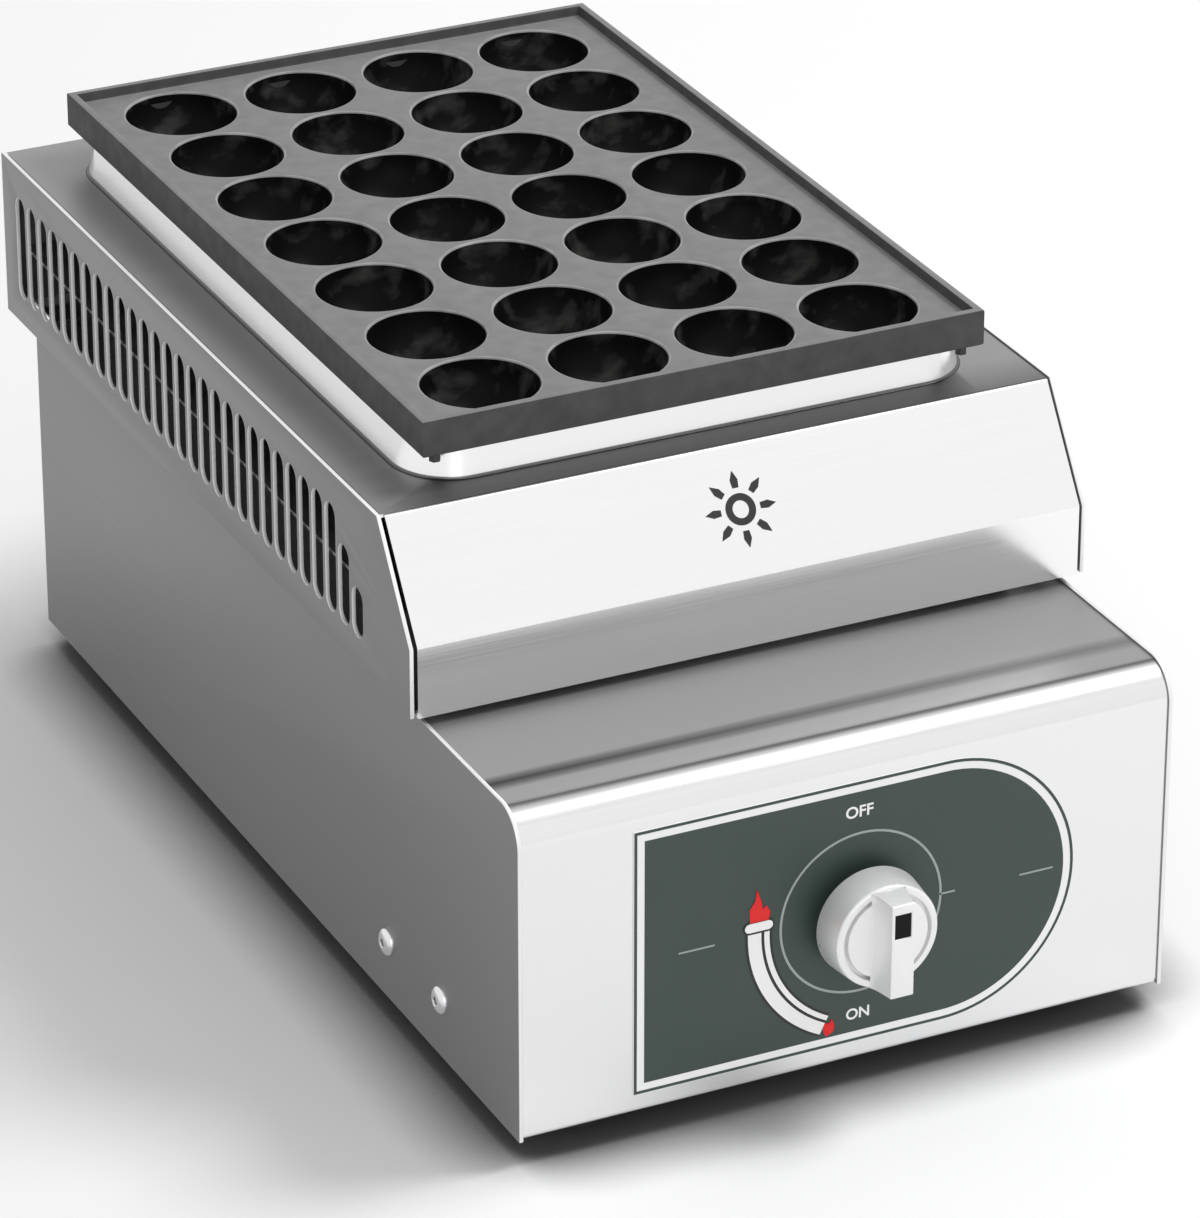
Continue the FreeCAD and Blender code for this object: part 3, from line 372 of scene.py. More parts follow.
def makeSteel(name, look):
    made, tree, shader = nodeMaterial(name)
    grain = noise(tree, objectSpace(tree, look["along"]), sheetLook["grain"], 4)
    clouds = noise(tree, objectSpace(tree, sheetLook["clouds"]), 1.0, 2)
    streaks = spread(tree, grain, 0.0, sheetLook["grainShare"])
    tone = mathNode(tree, "MULTIPLY_ADD", clouds, sheetLook["cloudShare"], streaks)
    swing = look["swing"]
    bright = blendColours(tree, tone, grey(look["level"] - swing), grey(look["level"] + swing))
    # deep is the flat's colour, darkened as painted shade; bright, on the bends and edges, is a painted highlight
    deep = blendColours(tree, tone, grey(look["paintedFaceShade"] - swing), grey(look["paintedFaceShade"] + swing))
    square = turnedTo(tree, look["face"])
    flat = spread(tree, square, 0.0, 1.0, *sheetLook["flat"])
    tinted = darkened(tree, mixed(tree, flat, bright, deep), paintedBendReflection(tree, square, look["crease"]))
    # painted shade and painted reflection marked on the sheet's points darken its colour here
    wearAndPaintedDarkening = spread(tree, markedPart(tree, "paintedDarkening"), 1.0, 0.0, 0, 1)
    link(tree, darkened(tree, tinted, wearAndPaintedDarkening), shader.inputs["Base Color"])
    link(tree, spread(tree, flat, look["edgeMetal"], look["faceMetal"], 0, 1), shader.inputs["Metallic"])
    rough = spread(tree, flat, look["rough"], look["faceRough"], 0, 1)
    rough = mathNode(tree, "ADD", spread(tree, grain, *sheetLook["roughSwing"]), rough)
    link(tree, rough, shader.inputs["Roughness"])
    bump(tree, grain, shader, *sheetLook["bump"])
    return made


# lit and shaded copies of one steel, one for each kind of sheet, with painted light in their levels
steelFront = makeSteel("frontSteel", steelLooks["front"])
steelSide = makeSteel("sideSteel", steelLooks["side"])
steelHood = makeSteel("hoodSteel", steelLooks["hood"])
steelHoodSide = makeSteel("hoodSideSteel", steelLooks["hoodSide"])
steelBack = makeSteel("backSteel", steelLooks["back"])
steelInner = makeSteel("innerSteel", steelLooks["inner"])

castLook = {
    "surface": (0.205, 0.205, 0.207), "wearAndPaintedDarkening": (0.240, 0.240, 0.243),
    # the wall colours are the face colour darkened as painted shade on the upright outside
    "wall": (0.066, 0.066, 0.067), "shadedWallWorn": (0.088, 0.088, 0.089),
    # the cups are black from seasoning, and darkened further as painted shade inside the bowls
    "cup": (0.003, 0.003, 0.003), "cupWorn": (0.075, 0.073, 0.071), "mouth": (0.42, 0.42, 0.422),
    "mottle": 160.0, "smear": (60, 140, 90), "smearRange": (0.52, 0.82),
    "rough": (0.38, 0.56), "shine": 0.07, "bump": (0.03, 0.3),
}


def makeCastIron(name, look):
    # grey top face, outside walls darker as painted shade, black seasoned cups darkened further as painted shade, with
    # smears
    made, tree, shader = nodeMaterial(name)
    shader.inputs["Specular IOR Level"].default_value = look["shine"]
    mottle = noise(tree, objectSpace(tree), look["mottle"], 6)
    smear = noise(tree, objectSpace(tree, look["smear"]), 1.0, 5)
    patches = spread(tree, mottle, 0.0, 1.0)
    face = blendColours(tree, patches, look["surface"], look["wearAndPaintedDarkening"])
    wall = blendColours(tree, patches, look["wall"], look["shadedWallWorn"])
    cup = blendColours(tree, spread(tree, smear, 0.0, 1.0, *look["smearRange"]), look["cup"], look["cupWorn"])
    mouth = blendColours(tree, spread(tree, smear, 0.0, 1.0), look["wearAndPaintedDarkening"], look["mouth"])
    outsideWithPaintedShade = mixed(tree, markedPart(tree, "topFace"), wall, face)
    inside = mixed(tree, markedPart(tree, "mouth"), cup, mouth)
    link(tree, mixed(tree, markedPart(tree, "bowl"), outsideWithPaintedShade, inside), shader.inputs["Base Color"])
    link(tree, spread(tree, smear, *look["rough"]), shader.inputs["Roughness"])
    bump(tree, mottle, shader, *look["bump"])
    return made


castIron = makeCastIron("castIron", castLook)


def makeMoulded(name, colour, swing, rough, grain=900.0, depth=0.01, coat=0.0, metallic=0.0, shine=0.5):
    # one colour that swings a little in patches, with a fine grain as deep as given
    made, tree, shader = nodeMaterial(name)
    shader.inputs["Specular IOR Level"].default_value = shine
    shader.inputs["Metallic"].default_value = metallic
    shader.inputs["Coat Weight"].default_value = coat
    speckle = noise(tree, objectSpace(tree), grain, 4)
    patches = noise(tree, objectSpace(tree), 40.0, 2)
    dark = tuple(max(c - swing, 0) for c in colour)
    light = tuple(min(c + swing, 1) for c in colour)
    link(tree, blendColours(tree, spread(tree, patches, 0, 1), dark, light), shader.inputs["Base Color"])
    link(tree, spread(tree, speckle, rough - 0.05, rough + 0.05), shader.inputs["Roughness"])
    if depth:
        bump(tree, speckle, shader, depth, 0.4)
    return made


ink = {"grain": 1500.0, "depth": 0}
knobPlastic = makeMoulded("knobPlastic", (0.87, 0.87, 0.875), 0.006, 0.30, grain=60.0, depth=0, metallic=0.3)
blackPlastic = makeMoulded("blackPlastic", (0.006, 0.006, 0.007), 0.002, 0.4, shine=0.12)
blackRubber = makeMoulded("blackRubber", (0.018, 0.018, 0.018), 0.006, 0.6, grain=500.0, depth=0.03)
printedGreen = makeMoulded("printedGreen", (0.036, 0.057, 0.050), 0.002, 0.5, **ink)
printedWhite = makeMoulded("printedWhite", (0.92, 0.92, 0.915), 0.01, 0.5, **ink)
printedGrey = makeMoulded("printedGrey", (0.36, 0.39, 0.38), 0.02, 0.5, **ink)
printedRed = makeMoulded("printedRed", (0.78, 0.014, 0.012), 0.03, 0.5, shine=0.2, **ink)
printedBlack = makeMoulded("printedBlack", (0.010, 0.011, 0.011), 0.003, 0.45, **ink)
brass = makeMoulded("turnedBrass", (0.72, 0.53, 0.24), 0.05, 0.3, grain=300.0, metallic=1.0)
rivetSteel = makeMoulded("rivetSteel", (0.75, 0.75, 0.76), 0.04, 0.22, grain=400.0, metallic=1.0)
darkCasting = makeMoulded("darkCasting", (0.05, 0.048, 0.046), 0.02, 0.6, grain=260.0, depth=0.06, metallic=0.6)
ceramic = makeMoulded("ceramic", (0.85, 0.84, 0.80), 0.02, 0.25, grain=500.0, depth=0.005, coat=0.4)
leadRed = makeMoulded("leadRed", (0.45, 0.05, 0.03), 0.03, 0.5)
print("materials ready")

nodeLooks = {
    steelInner: ["left_rail", "right_rail", "burner_box", "burner_bracket", "base_plate", "valve_bracket"],
    steelBack: ["back_panel", "hood_back"],
    darkCasting: ["left_burner", "right_burner"],
    brass: ["jet_manifold", "gas_jets", "gas_valve", "pipe_nuts", "valve_plug", "valve_spindle", "feed_pipe"],
    blackPlastic: ["piezo_igniter", "knob_marker"],
    leadRed: ["ignition_lead"],
    ceramic: ["spark_electrode"],
    castIron: ["pan_pegs"],
}
for material, names in nodeLooks.items():
    for name in names:
        for materialSlot in nodes[name].material_slots:
            materialSlot.material = material


# Body sheets
# line and lineSteps set rows across the deck that carry a painted dark reflection line; the tone pair is its darkness
# on the line and beside it, and rightShare how much stays on the right half
panelLook = {
    "sheet": 1.2, "bend": 12, "foot": 2.4, "return": 10, "flange": 14, "hole": 6,
    "line": 24, "lineSteps": (-5, -2.5, 0, 2.5, 5), "reflectionLineTone": (0.97, 0.6), "rightShare": 0.45,
}


def endCaps(outer, inner):
    # the two ends of a bent strip: one quad for each step along it
    count, caps = len(outer) + len(inner), []
    for i in range(min(len(outer), len(inner)) - 1):
        quad = [i, i + 1, count - 2 - i, count - 1 - i]
        caps += [quad, [quad[k] + count for k in (0, 3, 2, 1)]]
    return caps


def makeFrontPanel(look):
    (x0, y0, z0), (x1, y1, z1) = panelLow, panelHigh
    wall, foot, bend = look["sheet"], look["foot"], look["bend"]
    line = y0 + look["line"]
    outer = [(y0 + look["return"], z0)]
    outer += arcPoints(y0 + foot, z0 + foot, foot, 270, 180, 6)
    outer += arcPoints(y0 + bend, z1 - bend, bend, 180, 90, 28)
    outer += [(line + step, z1) for step in look["lineSteps"]]
    outer += arcPoints(y1 - foot, z1 - foot, foot, 90, 0, 6)
    outer += [(y1, z1 - look["flange"])]
    inner = [(y1 - wall, z1 - look["flange"])]
    inner += arcPoints(y1 - foot, z1 - foot, foot - wall, 0, 90, 6)
    inner += [(line + step, z1 - wall) for step in look["lineSteps"][::-1]]
    inner += arcPoints(y0 + bend, z1 - bend, bend - wall, 90, 180, 28)
    inner += arcPoints(y0 + foot, z0 + foot, foot - wall, 180, 270, 6)
    inner += [(y0 + look["return"], z0 + wall)]
    points, sides = stacked([[(x, a, b) for a, b in outer + inner] for x in (x0, x1)])
    piece = newPiece("frontSheet", points, sides + endCaps(outer, inner), steelFront)
    drill = [(0, y0 - 3), (look["hole"], y0 - 3), (look["hole"], y0 + 5), (0, y0 + 5)]
    cutWith(piece, newTool("holeTool", *lathe(drill, (knobX, knobZ), "y", 48)))
    sharpen(piece, 35)
    middle, beside = look["reflectionLineTone"]

    def deckReflectionLine(x, y, z):
        # a painted dark reflection runs along the deck as a line, a little behind the bend, and fades to the right
        away = abs(y - line)
        tone = middle if away < 0.1 else beside if away < 2.6 else 0
        return tone * (1.0 if x < 0 else look["rightShare"]) if z > z1 - 0.1 else 0

    paintedDarkening(piece, deckReflectionLine)
    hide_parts("front_panel")


makeFrontPanel(panelLook)

sideLook = {
    "wall": 1.5, "corner": 12.8, "edge": 0.35, "flange": 14, "flangeWall": 1.2, "flangeStart": 12, "topStart": 84,
    "rearGap": 1.5,
}


def wallAndFlange(low, high, sign, look):
    # the X range of a side sheet and of the flange inside it
    outerX = low[0] if sign < 0 else high[0]
    innerX = outerX - sign * look["wall"]
    return sorted((outerX, innerX)), sorted((innerX, innerX - sign * look["flange"]))


def makeSidePanel(name, node, low, high, sign, look):
    corner = look["corner"]
    outline = [(low[1], low[2])]
    outline += arcPoints(low[1] + corner, high[2] - corner, corner, 180, 90, 24)
    outline += [(high[1], high[2]), (high[1], low[2])]
    wall, (x0, x1) = wallAndFlange(low, high, sign, look)
    rear = high[1] - look["rearGap"]
    foot = boxForm((x0, low[1] + look["flangeStart"], low[2]), (x1, rear, low[2] + look["flangeWall"]))
    top = boxForm((x0, low[1] + look["topStart"], high[2] - look["wall"]), (x1, rear, high[2]))
    piece = newPiece(name, *prism(outline, *wall, "x"), steelSide)
    bevel(piece, look["edge"])
    sharpen(piece, 60)
    flanges = newPiece(name + "Flanges", *joined(foot, top), steelInner)
    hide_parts(node)


makeSidePanel("leftSheet", "left_side_panel", sideLow, sideHigh, -1, sideLook)
makeSidePanel("rightSheet", "right_side_panel", farSideLow, farSideHigh, 1, sideLook)
print("body sheets ready")

# Hood
hoodLook = {
    "wall": 1.4, "bandHeight": 24, "run": 24, "edge": 0.4,
    "flange": 7, "flangeWall": 1.2, "frontGap": 3, "rearGap": 1.5,
    "slots": 27, "pitch": 10.4, "first": 16.6, "width": 8.4, "top": 11.4, "bottom": 49.6, "step": 10.4,
    "backReturn": 19, "backWall": 2.2,
}


def slotLoop(y, low, high, width):
    r = width / 2
    return arcPoints(y, high - r, r, 0, 180, 10) + arcPoints(y, low + r, r, 180, 360, 10)


def makeHoodSide(name, node, low, high, sign, look):
    (_, front, base), (_, rear, top) = low, high
    outline = [(front, base), (front, base + look["bandHeight"]), (front + look["run"], top), (rear, top), (rear, base)]
    slotLow, slotTop = top - look["bottom"], top - look["top"]
    holes = []
    for i in range(look["slots"] + 2):
        # the last two slots are shorter, under the slant
        drop = max(0, i - look["slots"] + 1) * look["step"]
        holes.append(slotLoop(rear - look["first"] - i * look["pitch"], slotLow, slotTop - drop, look["width"]))
    wall, (x0, x1) = wallAndFlange(low, high, sign, look)
    piece = newPiece(name, *holedPlate(outline, holes, *wall, "x"), steelHoodSide)
    bevel(piece, look["edge"])
    sharpen(piece, 50)
    lip = boxForm((x0, front + look["frontGap"], base), (x1, rear - look["rearGap"], base + look["flangeWall"]))
    flange = newPiece(name + "Flange", *lip, steelInner)
    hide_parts(node)


def makeBackReturn(look):
    # the lower edge of the hood's back is turned in towards the body
    y1, z0 = hoodHigh[1] - look["backWall"], hoodLow[2] + 0.2
    low = (hoodHigh[0] + 1, y1 - look["backReturn"], z0)
    high = (farHoodLow[0] - 1, y1, z0 + look["flangeWall"])
    piece = newPiece("hoodBackReturn", *boxForm(low, high), steelInner)
    bevel(piece, 0.3)


makeBackReturn(hoodLook)
makeHoodSide("hoodLeftSheet", "hood_left_side", hoodLow, hoodHigh, -1, hoodLook)
makeHoodSide("hoodRightSheet", "hood_right_side", farHoodLow, farHoodHigh, 1, hoodLook)

coverLook = {
    "sheet": 1.2, "reveal": 0.5, "lift": -0.7, "endGap": (0.9, 0.1), "bend": 2.0, "hem": 2.5,
    "lipSide": 20, "lipFront": 13, "lipBack": 16, "corner": 20, "foot": 1.6, "roll": 2.5, "draft": 18,
    "shelf": 0.4, "lipEdge": ((0.35, 0.3), (0.4, 1.3)), "inward": 0.62, "shade": 0.5, "footShade": 0.85,
}


def lipSteps(look):
    # the raised lip from its foot to the edge of the opening: (how far in from the base outline, height) pairs
    top, base = coverHigh[2], hoodHigh[2] - look["reveal"]
    steep, foot, roll = radians(90 - look["draft"]), look["foot"], look["roll"]
    steps = []
    for i in range(7):
        turn = steep * i / 6
        steps.append((foot * (sin(turn) - tan(steep / 2)), base + foot * (1 - cos(turn))))
    wallEnd = (top - base - roll * (1 - cos(steep))) / tan(steep)
    for i in range(8):
        turn = steep * (1 - i / 7)
        steps.append((wallEnd + roll * (sin(steep) - sin(turn)), top - roll * (1 - cos(turn))))
    shelfEnd = wallEnd + roll * sin(steep) + look["shelf"]
    return steps + [(shelfEnd, top)] + [(shelfEnd + across, top - down) for across, down in look["lipEdge"]]


def coverBorder(foot, halfWidth, front, rear):
    # the foot of the lip carried out to the edges of the cover; each of its round corners has 13 points
    border = []
    corners = [(halfWidth, rear), (-halfWidth, rear), (-halfWidth, front), (halfWidth, front)]
    for i, (x, y, _) in enumerate(foot):
        corner, place = divmod(i, 13)
        if place == 6:
            border.append(corners[corner])
        elif (corner, place < 6) in ((0, True), (3, False)):
            border.append((halfWidth, y))
        elif (corner, place < 6) in ((0, False), (1, True)):
            border.append((x, rear))
        elif (corner, place < 6) in ((1, False), (2, True)):
            border.append((-halfWidth, y))
        else:
            border.append((x, front))
    return border


def slantProfile(look, front, top):
    # over a bend, down the slant, over a second bend and down the band: (Y, Z) pairs
    knee, base = hoodLow[2] + hoodLook["bandHeight"], hoodLow[2] + look["lift"]
    bandY, bend = hoodLow[1] + look["reveal"], look["bend"]
    slope = atan2(top - knee, front - bandY)
    startY = front + bend * tan(slope / 2)
    profile = []
    for i in range(7):
        turn = slope * i / 6
        profile.append((startY - bend * sin(turn), top - bend * (1 - cos(turn))))
    lower = pi / 2 - slope
    cut = bend * tan(lower / 2)
    lowerY, lowerZ = bandY + cut * cos(slope), knee + cut * sin(slope)
    for i in range(7):
        turn = slope + lower * i / 6
        profile.append((lowerY - bend * (sin(turn) - sin(slope)), lowerZ + bend * (cos(turn) - cos(slope))))
    return profile + [(bandY, base + look["hem"]), (bandY, base)]


def makeHoodCover(look):
    halfWidth, rear, top = coverHigh[0], coverHigh[1], hoodHigh[2] - look["reveal"]
    front = hoodLow[1] + hoodLook["run"] + look["reveal"] * 0.6
    x1 = farHoodHigh[0] - look["lipSide"]
    y0, y1 = hoodLow[1] + hoodLook["run"] + look["lipFront"], rear - look["lipBack"]
    lip = []
    for inset, z in lipSteps(look):
        deep = inset * look["inward"]
        loop = roundedLoop(inset - x1, x1 - inset, y0 + deep, y1 - deep, max(look["corner"] - inset, 2))
        lip.append([(x, y, z) for x, y in loop])
    border = [(x, y, top) for x, y in coverBorder(lip[0], halfWidth, front, rear)]
    points, faces = stacked([border] + lip)
    # the front edge of the border runs on over the bends
    along = [i for i in range(len(border)) if abs(border[i][1] - front) < 1e-6]
    along.sort(key=lambda i: border[i][0])
    profile = slantProfile(look, front, top)
    leftEnd, rightEnd = look["endGap"][0] - halfWidth, halfWidth - look["endGap"][1]
    for i in along:
        points[i] = (border[i][0], *profile[0])
    previous = along
    for y, z in profile[1:]:
        row = range(len(points), len(points) + len(along))
        points += [(max(leftEnd, min(rightEnd, border[i][0])), y, z) for i in along]
        faces += [[previous[i], previous[i + 1], row[i + 1], row[i]] for i in range(len(row) - 1)]
        previous = row
    piece = newPiece("hoodCover", points, faces, steelHood)
    thick = piece.modifiers.new("thickness", "SOLIDIFY")
    thick.thickness = look["sheet"] * mm
    thick.offset = -1
    applyModifiers(piece)
    piece.data.shade_smooth()
    sharpen(piece, 35)

    def coverPaintedShade(x, y, z):
        # painted shade: a dark line round the foot of the lip, and a darker cover in front of it
        if top + 0.02 < z < top + 1.0:
            return look["footShade"]
        return look["shade"] if y < y0 + 4 and abs(z - top) < 0.3 and x > 8 - halfWidth else 0

    paintedDarkening(piece, coverPaintedShade)
    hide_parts("hood_top")


makeHoodCover(coverLook)
print("hood ready")

# Pan with its ball cups
panLook = {
    "pitchX": 45, "pitchY": 41.3, "columns": 4, "rows": 7, "radius": 19.3, "lipRound": 0.7, "boss": 20.5, "closeAt": 84,
    "plate": 3, "border": 8, "rimRise": 3.5, "rimDrop": 9, "rimWall": 3, "rimLean": 0.1, "edge": 0.6,
    "rimFillet": ((1.2, 0), (0.35, 0.3), (0, 1.1)), "turns": 72,
}


def cellCentres(look):
    middleY = (panLow[1] + panHigh[1]) / 2
    xs = [(column - (look["columns"] - 1) / 2) * look["pitchX"] for column in range(look["columns"])]
    ys = [middleY + (row - (look["rows"] - 1) / 2) * look["pitchY"] for row in range(look["rows"])]
    return [(x, y) for x in xs for y in ys]


def cellAngles(look):
    # even steps round the circle, with the nearest one set on each corner of the cell
    count = look["turns"]
    angles = [2 * pi * i / count for i in range(count)]
    corner = atan2(look["pitchY"], look["pitchX"])
    for goal in (corner, pi - corner, pi + corner, 2 * pi - corner):
        nearest = min(range(count), key=lambda i: abs(angles[i] - goal))
        angles[nearest] = goal
    return angles


def cellEdge(angle, look):
    # where a line from the middle of a cell meets its border
    c, s = cos(angle), sin(angle)
    reach = min(look["pitchX"] / 2 / max(abs(c), 1e-9), look["pitchY"] / 2 / max(abs(s), 1e-9))
    return reach * c, reach * s


def cupGrid(look, surface, rings):
    # cells with one bowl each; rings are (radius, height) from the face of the plate inwards
    angles = cellAngles(look)
    edges = [cellEdge(a, look) for a in angles]
    forms = []
    for cx, cy in cellCentres(look):
        loops = [[(cx + x, cy + y, surface) for x, y in edges]]
        loops += [[(cx + radius * cos(a), cy + radius * sin(a), z) for a in angles] for radius, z in rings]
        points, faces = stacked(loops)
        forms.append((points, faces + [list(range(len(points) - len(angles), len(points)))]))
    return joined(*forms)


def ballRings(look, radius, surface, drop, steps):
    # down the inside of a ball, from a drop below the surface to the small flat that closes it
    start = degrees(asin(drop / radius))
    turns = [radians(start + (look["closeAt"] - start) * i / steps) for i in range(steps + 1)]
    return [(radius * cos(turn), surface - radius * sin(turn)) for turn in turns]


def mouthRings(look, surface):
    # the small round at the mouth of a cup
    lipRound, turns = look["lipRound"], [radians(30 * i) for i in range(4)]
    return [(look["radius"] + lipRound * (1 - sin(t)), surface - lipRound * (1 - cos(t))) for t in turns]


def makePan(look):
    (x0, y0, _), (x1, y1, top) = panLow, panHigh
    middleY = (y0 + y1) / 2
    surface = top - look["rimRise"]
    foot, under = surface - look["rimDrop"], surface - look["plate"]
    blockX, blockY = look["columns"] * look["pitchX"] / 2, look["rows"] * look["pitchY"] / 2
    cups = mouthRings(look, surface) + ballRings(look, look["radius"], surface, look["lipRound"], 13)
    bosses = ballRings(look, look["boss"], surface, look["plate"], 10)

    def onSide(x, y, near):
        return abs(abs(x) - blockX) < near, abs(abs(y - middleY) - blockY) < near

    # the points of the outer cells on the outline of all cells, in order round it
    found = set()
    for cx, cy in cellCentres(look):
        for a in cellAngles(look):
            ex, ey = cellEdge(a, look)
            if any(onSide(cx + ex, cy + ey, 1e-4)):
                found.add((round(cx + ex, 4), round(cy + ey, 4)))
    border = sorted(found, key=lambda p: atan2(p[1] - middleY, p[0]))

    def frameLoop(inset, z):
        # the border's points carried out to a rectangle inset from the pan's edge
        loop = []
        for x, y in border:
            atX, atY = onSide(x, y, 1e-3)
            px = (x1 - inset if x > 0 else x0 + inset) if atX else x
            py = (y1 - inset if y > middleY else y0 + inset) if atY else y
            loop.append((px, py, z))
        return loop

    wall, edge = look["rimWall"], look["edge"]
    steps = [(wall + across, surface + up) for across, up in look["rimFillet"]]
    steps += [(wall - look["rimLean"], top - edge), (wall - edge * 0.6, top - edge * 0.15), (wall - edge * 1.2, top)]
    steps += [(edge, top), (edge * 0.3, top - edge * 0.3), (0, top - edge), (0, foot + edge), (edge, foot)]
    steps += [(look["border"], foot), (look["border"], under)]
    rim = [frameLoop(*step) for step in steps]
    rim = [[(x, y, surface) for x, y in border]] + rim + [[(x, y, under) for x, y in border]]
    forms = joined(cupGrid(look, surface, cups), cupGrid(look, under, bosses), stacked(rim))
    piece = newPiece("castPan", *forms, castIron, "pan", 38)
    mesh, place = piece.data, piece.matrix_world
    # faces that face up keep the top colour; the rest of the outside takes the wall colour, a painted shade
    topFace = mesh.attributes.new("topFace", "FLOAT", "FACE")
    bowl = mesh.attributes.new("bowl", "FLOAT", "FACE")
    mouth = mesh.attributes.new("mouth", "FLOAT", "FACE")
    for polygon in mesh.polygons:
        centre, up = place @ polygon.center / mm, polygon.normal.z
        sunk = centre.z < surface - 0.01
        inside = sunk and up > 0.02 and abs(centre.x) < blockX
        topFace.data[polygon.index].value = up > 0.8 and centre.z > surface - 0.01
        bowl.data[polygon.index].value = inside
        mouth.data[polygon.index].value = inside and centre.z > surface - look["lipRound"]
    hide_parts("pan")


makePan(panLook)
print("pan ready")

# Control plate and what is printed on it
plateLook = {
    "left": -75.5, "right": 80.5, "radius": 46.8, "lineIn": 0.15, "line": 1.0, "border": 3.7, "hole": 6,
    "ring": 28.4, "ringWidth": 0.8, "print": 0.06, "dashHalf": 0.3,
    "dashes": ((-60.0, -47.5, 0.5), (31.8, 37.6, -0.5), (60.9, 73.0, -0.5)),
}


def plateOutline(inset, look):
    r = look["radius"] - inset
    cx = look["right"] - look["radius"]
    outline = [(look["left"] + inset, knobZ + r), (look["left"] + inset, knobZ - r)]
    return outline + arcPoints(cx, knobZ, r, -90, 90, 48)


def printedShape(name, outline, holes, level, material):
    # a thin layer of ink; level is how many layers lie under it
    low = plateLow[1] - plateLook["print"] * (level + 1)
    piece = newPiece(name, *holedPlate(outline, holes, low, plateLow[1] + 0.01, "y"), material)


def circleLoop(cx, cz, radius, steps=72):
    turns = [2 * pi * i / steps for i in range(steps)]
    return [(cx + radius * cos(turn), cz + radius * sin(turn)) for turn in turns]


def makeControlPlate(look):
    hole = circleLoop(knobX, knobZ, look["hole"])
    sheet = holedPlate(plateOutline(0, look), [hole], plateLow[1], plateHigh[1], "y")
    base = newPiece("controlPlate", *sheet, printedWhite)
    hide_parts("control_plate")
    outer, inner = plateOutline(look["lineIn"], look), plateOutline(look["lineIn"] + look["line"], look)
    printedShape("plateLine", outer, [inner[::-1]], 0, printedGreen)
    printedShape("plateField", plateOutline(look["border"], look), [hole], 0, printedGreen)
    ring, halfLine = look["ring"], look["ringWidth"] / 2
    printedShape("dialRing", circleLoop(knobX, knobZ, ring + halfLine), [circleLoop(knobX, knobZ, ring - halfLine)], 1,
                 printedGrey)
    for number, (x0, x1, up) in enumerate(look["dashes"], start=1):
        z0, z1 = knobZ + up - look["dashHalf"], knobZ + up + look["dashHalf"]
        printedShape(f"dash{number}", [(x0, z0), (x1, z0), (x1, z1), (x0, z1)], [], 1, printedGrey)


makeControlPlate(plateLook)

gaugeLook = {
    "shift": 6.5, "radius": 42.6, "from": 177, "to": 243.5, "wideStart": 7.6, "wideEnd": 6.8, "steps": 40,
    "edge": (-0.62, 0.62), "wide": (-0.12, 0.5), "thin": (-0.5, -0.26),
    "cap": 9.8, "capHeight": 3.2, "capUp": 3.4, "capEdge": 1.4, "flameUp": 1.9,
    "flame": ((-3.2, 0), (3.2, 0), (3.8, 2.6), (2.6, 5.2), (1.2, 4.0), (0.6, 7.2), (-0.9, 11.5), (-1.5, 7.4),
              (-3.4, 4.6)),
    "smallFlame": ((0.6, -4.2), (3.0, -3.2), (3.6, -1.2), (2.8, 1.6), (1.6, 0.2), (0.2, 0.6), (-0.6, -1.6)),
}


def slotAcross(cx, cz, length, height):
    r = height / 2
    return arcPoints(cx + length / 2 - r, cz, r, -90, 90, 10) + arcPoints(cx - length / 2 + r, cz, r, 90, 270, 10)


def makeGauge(look):
    # the level mark beside the knob: two white strokes in an arc, a cap and a flame at each end
    middleX, steps = knobX + look["shift"], look["steps"]
    turns = [radians(look["from"] + (look["to"] - look["from"]) * i / steps) for i in range(steps + 1)]

    def onArc(angle, out):
        return middleX + out * cos(angle), knobZ + out * sin(angle)

    def strip(low, high):
        outer, inner = [], []
        for i, turn in enumerate(turns):
            wide = look["wideStart"] + (look["wideEnd"] - look["wideStart"]) * i / steps
            outer.append(onArc(turn, look["radius"] + wide * high))
            inner.append(onArc(turn, look["radius"] + wide * low))
        return outer + inner[::-1]

    printedShape("gaugeEdge", strip(*look["edge"]), [], 1, printedBlack)
    printedShape("gaugeWide", strip(*look["wide"]), [], 2, printedWhite)
    printedShape("gaugeThin", strip(*look["thin"]), [], 2, printedWhite)
    x, z = middleX - look["radius"], knobZ + look["capUp"]
    cap, capHeight, capEdge = look["cap"], look["capHeight"], look["capEdge"]
    printedShape("gaugeCapEdge", slotAcross(x, z, cap + capEdge, capHeight + capEdge), [], 3, printedBlack)
    printedShape("gaugeCap", slotAcross(x, z, cap, capHeight), [], 4, printedWhite)
    printedShape("flameLarge", [(x + a, z + look["flameUp"] + b) for a, b in look["flame"]], [], 5, printedRed)
    endX, endZ = onArc(turns[-1], look["radius"])
    printedShape("flameSmall", [(endX + a, endZ + b) for a, b in look["smallFlame"]], [], 5, printedRed)


makeGauge(gaugeLook)

wordLook = {"OFF": (2.8, 36.0, 5.6), "ON": (3.6, -36.8, 5.4)}  # place across, height above the knob, letter size


def makeWords(look):
    for word, (x, up, size) in look.items():
        letters = bpy.data.curves.new("word" + word, "FONT")
        letters.body = word
        letters.size = size * mm
        letters.align_x = "CENTER"
        letters.align_y = "CENTER"
        letters.extrude = 0.04 * mm
        letters.offset = 0.10 * mm
        letters.materials.append(printedWhite)
        piece = bpy.data.objects.new("word" + word, letters)
        piece.rotation_euler = (pi / 2, 0, 0)
        piece.location = (x * mm, (plateLow[1] - 0.1) * mm, (knobZ + up) * mm)
        bpy.context.scene.collection.objects.link(piece)
        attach(piece, "grill")


makeWords(wordLook)
print("control plate ready")

